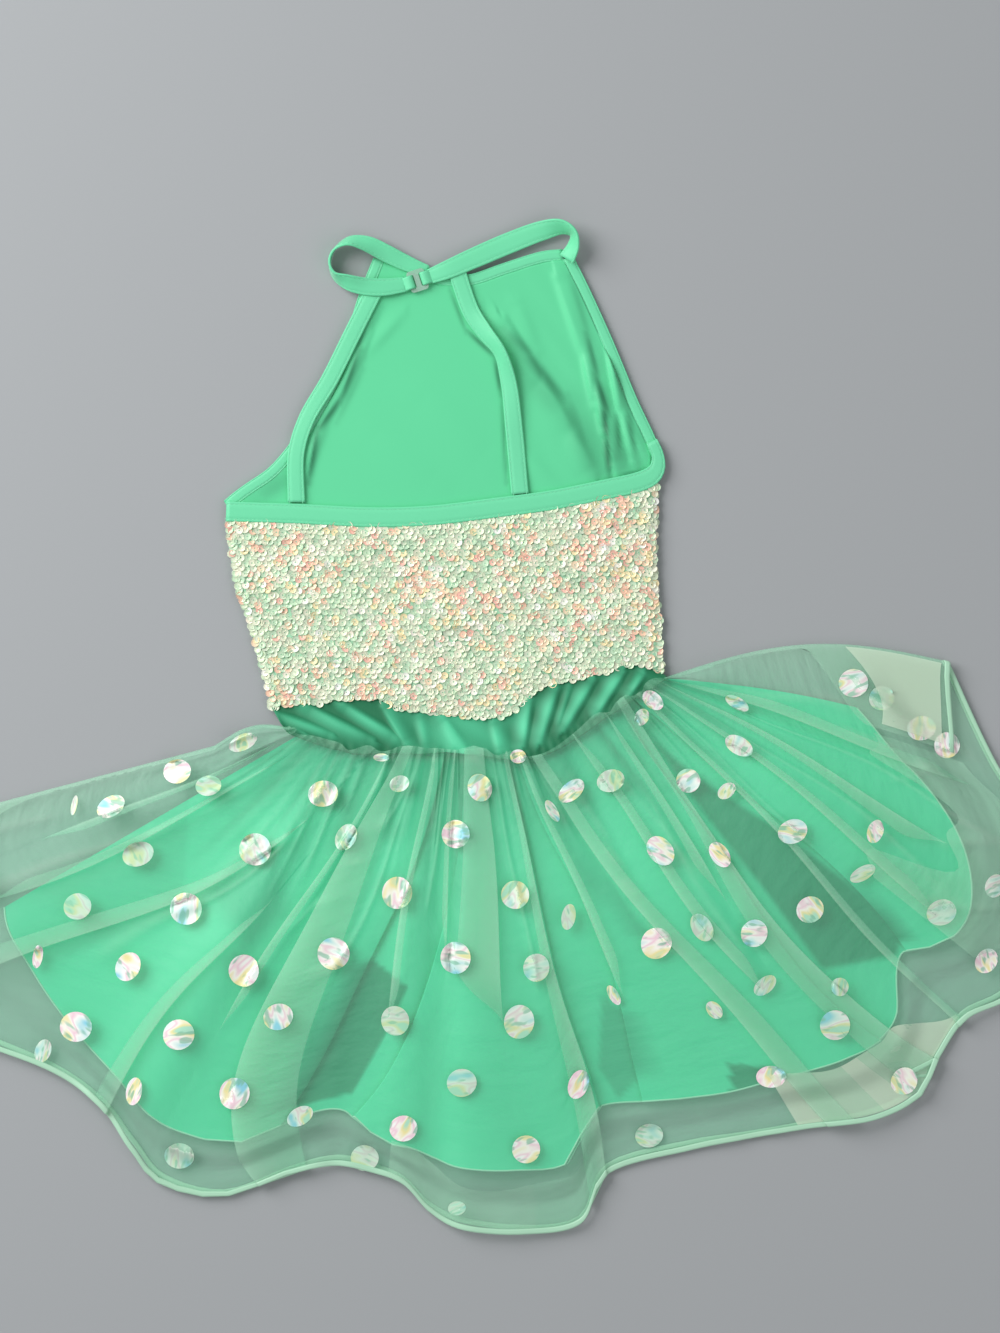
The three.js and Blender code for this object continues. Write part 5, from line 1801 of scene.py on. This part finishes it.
# This loose fold carries a painted highlight all over: its crest is 1.
layer = sheet_object("overskirt_side_fold", grid, organza, cut_uv(places), {"crest": 0 * grid[..., 0] + 1})
dress(layer, "overskirt")


# Hem edging of the back half: the same narrow satin binding, folded over the organza's raw edge and stitched
# down. It follows the hem round every fold.
def spread_out(grid, *others):
    """The grid without columns that lie on the one before."""
    steps = np.linalg.norm(np.diff(grid, axis=1), axis=2).max(axis=0)
    kept = np.concatenate([[True], steps > 0.05])
    return [values[:, kept] for values in (grid, *others)]


grid, places = skirt_grid(
    over_columns,
    np.linspace(0, 1, 4),
    lambda rows, place: 1 - (1 - rows) * EDGING_WIDTH / fan_length(place),
    over_height,
)
grid, places = spread_out(grid, places)
edging_back = shell_object("hem_edging_back_binding", grid, EDGING_WALL, edging, cut_uv(places))
dress(edging_back, "edging", "hem_edging_back")


# Foil dots: discs of creased holographic film, 18 mm across, hot-stamped on the organza. They follow its
# folds, so most are seen narrowed, and some lie on a hidden layer.
DOT_RADIUS = 9.0

# The foil is holographic polyester film: nearly white, with soft patches of pastel colour 8 mm wide, and
# creases 3.5 mm wide painted a dull green-grey as shade on their facets. Dots that lie under a layer of organza
# are veiled by its green.
PATCH, CREASE = 8.18, 3.46
foil, tree, output = new_material("holographic_foil_film")
local = add_node(tree, "ShaderNodeVertexColor", layer_name="local")
veil = add_node(tree, "ShaderNodeAttribute", attribute_name="veil")
patches = add_node(
    tree,
    "ShaderNodeTexNoise",
    {"Vector": local.outputs["Color"], "Scale": DOT_RADIUS / PATCH, "Detail": 1.0, "Distortion": 0.15},
)
pastel = add_node(tree, "ShaderNodeValToRGB", {"Fac": patches.outputs["Fac"]})
ramp = pastel.color_ramp
stops = (
    (0.3, "#8FD6EA"),
    (0.38, "#DDF4F0"),
    (0.45, "#FFFFFA"),
    (0.5, "#F8D3DF"),
    (0.55, "#FFFDF2"),
    (0.62, "#F5E9A6"),
    (0.7, "#B4E8CC"),
)
ramp.elements[0].position, ramp.elements[0].color = stops[0][0], linear(stops[0][1])
ramp.elements[1].position, ramp.elements[1].color = stops[-1][0], linear(stops[-1][1])
for place, colour in stops[1:-1]:
    ramp.elements.new(place).color = linear(colour)
creases = add_node(
    tree,
    "ShaderNodeTexNoise",
    {"Vector": local.outputs["Color"], "Scale": DOT_RADIUS / CREASE, "Detail": 1.0},
)
folded = add_node(
    tree,
    "ShaderNodeMapRange",
    {"Value": creases.outputs["Fac"], "From Min": 0.56, "From Max": 0.66, "To Max": 0.75},
)
dimmed = add_node(
    tree,
    "ShaderNodeMix",
    {"Factor": folded.outputs["Result"], "A": pastel.outputs["Color"], "B": linear("#7FC1A4")},
    data_type="RGBA",
)
veiled = add_node(
    tree,
    "ShaderNodeMix",
    {"Factor": veil.outputs["Fac"], "A": dimmed.outputs[2], "B": linear("#8FD3AA")},
    data_type="RGBA",
)
shader = add_node(
    tree,
    "ShaderNodeBsdfPrincipled",
    {"Base Color": veiled.outputs[2], "Metallic": 0.1, "Roughness": 0.5},
)
finish_material(tree, output, shader)
# Each row is x, y, the two half axes as they are seen, the turn of the first in degrees, and the layer from
# the top.
FOIL_DOTS = [
    (-135.6, 4.8, 9, 4.8, 25, 0), (-175.2, -12.6, 8.4, 7.2, 10, 0), (-214.8, -33.6, 9, 6, 30, 0),
    (-237, -33, 6, 1.8, 80, 0), (-87.6, -25.8, 9, 7.8, 10, 0), (-127.8, -58.8, 9.6, 9.6, 0, 0),
    (-169.2, -94.2, 9.6, 9.6, 0, 0), (-43.2, -84.6, 9.6, 9, 80, 0), (-81, -120.6, 9.6, 9.6, 0, 0),
    (-8.4, -123, 9.6, 9, 90, 0), (-204, -129, 9, 7.2, 60, 0), (-134.4, -130.8, 9.6, 9, 90, 0),
    (29.4, -161.4, 10.2, 9, 80, 0), (-235.2, -165, 9.6, 9, 0, 0), (-173.4, -169.2, 9.6, 9, 30, 0),
    (-255.6, -180, 7.2, 4.8, 70, 0), (-200.4, -203.4, 8.4, 4.8, 80, 0), (-140.4, -204.6, 9.6, 9, 60, 0),
    (33.6, -238.2, 8.4, 8.4, 40, 0), (64.8, -199.2, 9, 6, 70, 0), (111, -114.6, 9.6, 9, 60, 0),
    (85.8, -145.8, 6.6, 3, 120, 0), (113.4, -59.4, 9.6, 7.2, 130, 0), (148.8, -61.8, 8.4, 5.4, 125, 0),
    (192, -48, 9, 7.2, 20, 0), (202.8, -94.8, 8.4, 7.8, 30, 0), (217.8, -163.8, 9, 9, 30, 0),
    (229.2, 40.2, 9, 8.4, 20, 0), (270, 13.2, 9, 7.2, 10, 0), (285.6, 3, 7.8, 7.8, 60, 0),
    (281.4, -96.6, 9, 7.8, 20, 0), (313.8, -81, 7.2, 6, 60, 0), (259.8, -198, 8.4, 7.8, 60, 0),
    (-198, -61.8, 9.6, 7.2, 20, 1), (-73.8, -51.6, 8.4, 6, 60, 1), (-42, -19.8, 6, 4.8, 20, 1),
    (6, -22.2, 7.2, 8.4, 20, 0), (-8.4, -49.8, 8.4, 8.4, 0, 0), (27, -85.8, 8.4, 8.4, 0, 0),
    (58.8, -99, 7.8, 4.2, 80, 1), (39.6, -129, 8.4, 7.8, 80, 1), (-114, -158.4, 9, 7.8, 20, 0),
    (-44.4, -160.8, 9, 8.4, 100, 1), (-4.8, -198, 9, 8.4, 20, 1), (-101.4, -218.4, 8.4, 5.4, 30, 0),
    (-39.6, -225.6, 8.4, 7.8, 10, 0), (-63, -244.2, 8.4, 7.8, 0, 1), (-7.8, -274.2, 5.4, 4.2, 10, 1),
    (107.4, -231, 8.4, 7.2, 10, 1), (60.6, -24, 9, 5.4, 40, 0), (28.8, -3.6, 4.8, 4.2, 0, 0),
    (130.2, -18, 7.2, 7.2, 120, 0), (153, -24, 6, 4.2, 40, 0), (160.2, 3, 9, 5.4, 150, 0),
    (159.6, 28.2, 7.8, 3.6, 150, 0), (109.2, 30, 7.2, 4.8, 140, 0), (169.2, -108.6, 8.4, 7.8, 60, 0),
    (138, -105, 9, 6, 120, 1), (145.8, -154.8, 6, 4.2, 130, 0), (175.8, -139.8, 7.8, 4.8, 40, 1),
    (180, -195, 9, 6.6, 0, 0), (220.8, -141, 5.4, 5.4, 40, 1), (217.8, -225, 8.4, 5.4, 20, 0),
    (241.2, -48, 7.2, 4.8, 70, 0), (246, 31.2, 7.8, 7.2, 20, 1), (309, -126, 7.8, 6.6, 60, 0),
    (234, -73.2, 8.4, 4.2, 30, 1), (84, -18, 8.4, 6.6, 20, 1), (49.2, -36, 7.2, 3, 120, 0),
    (-174, -243, 9, 7.8, 0, 2), (-156, -21, 7.8, 6, 10, 1), (-234, -93, 8.4, 7.8, 20, 1),
    (-258, -123, 7.2, 3, 80, 0), (-294, -78, 9, 8.4, 0, 0), (-324, -108, 9, 8.4, 30, 0),
    (-300, -141, 9, 7.8, 60, 0), (-336, -66, 9, 7.2, 20, 0), (-348, -141, 8.4, 8.4, 10, 0),
    (342, -66, 8.4, 7.8, 20, 0), (336, -108, 9, 7.8, 50, 0), (345, -30, 8.4, 6, 70, 0),
    (42.6, -1.8, 5.4, 3, 150, 0), (-52.8, -4.2, 4.8, 2.4, 0, 0), (102.6, 19.8, 5.4, 4.2, 60, 0),
]
over_points = (over_grid.reshape(-1, 3) + SHIFT) / 1000
over_tree = BVHTree.FromPolygons(over_points.tolist(), grid_faces(*over_grid.shape[:2]).tolist())


def hits_below(x, y, top):
    """Heights of the organza's layers below a point, from the top down, in table millimetres."""
    found = []
    start = Vector(((x + SHIFT[0]) / 1000, (y + SHIFT[1]) / 1000, top / 1000))
    while len(found) < 4:
        place = over_tree.ray_cast(start, Vector((0, 0, -1)))[0]
        if place is None:
            break
        found.append(place.z * 1000)
        start = place - Vector((0, 0, 0.0002))
    return found


ABOVE_ALL = 60
DOT_LIFT = 0.16
DOT_RINGS = 6
DOT_SIDES = 26
disc = [(0.0, 0.0)] + [
    (r / DOT_RINGS * math.cos(a), r / DOT_RINGS * math.sin(a))
    for r in range(1, DOT_RINGS + 1)
    for a in np.arange(DOT_SIDES) * 2 * math.pi / DOT_SIDES
]
disc_faces = [(0, 1 + k, 1 + (k + 1) % DOT_SIDES) for k in range(DOT_SIDES)]
for r in range(1, DOT_RINGS):
    for k in range(DOT_SIDES):
        a, b = 1 + (r - 1) * DOT_SIDES + k, 1 + (r - 1) * DOT_SIDES + (k + 1) % DOT_SIDES
        disc_faces += [(a, a + DOT_SIDES, b + DOT_SIDES), (a, b + DOT_SIDES, b)]
rng = np.random.default_rng(4)
dot_points, dot_faces, dot_local, dot_veil = [], [], [], []
for cx, cy, long_half, short_half, turn, layer in FOIL_DOTS:
    below = hits_below(cx, cy, ABOVE_ALL)
    if not below:
        continue
    base = below[min(layer, len(below) - 1)]
    angle = math.radians(turn)
    crease = rng.uniform(0, math.pi)
    lift = rng.uniform(0.4, 1.0)
    phase = rng.uniform(0, 6)
    shade = 0.55 if layer else rng.choice([0.0, 0.05, 0.15, 0.35])
    first = len(dot_points)
    for a, b in disc:
        dx = a * math.cos(angle) * long_half - b * math.sin(angle) * short_half
        dy = a * math.sin(angle) * long_half + b * math.cos(angle) * short_half
        here = hits_below(cx + dx, cy + dy, base + 4)
        z = here[0] if here and abs(here[0] - base) < 3.5 else base
        bend = lift * math.sin(3.5 * (a * math.cos(crease) + b * math.sin(crease)) + phase)
        dot_points.append((cx + dx, cy + dy, z + DOT_LIFT + 0.1 * bend))
        dot_veil.append(shade)
        along = a * math.cos(crease) + b * math.sin(crease)
        across = b * math.cos(crease) - a * math.sin(crease)
        dot_local.append((along + 5 * phase, across * 0.35 + phase, phase, 1.0))
    dot_faces += [tuple(first + i for i in face) for face in disc_faces]
dot_attributes = {"local": np.array(dot_local), "veil": np.array(dot_veil)}
foil_dots = build("overskirt_foil_dots", dot_points, dot_faces, foil, None, dot_attributes)
dress(foil_dots, "overskirt")
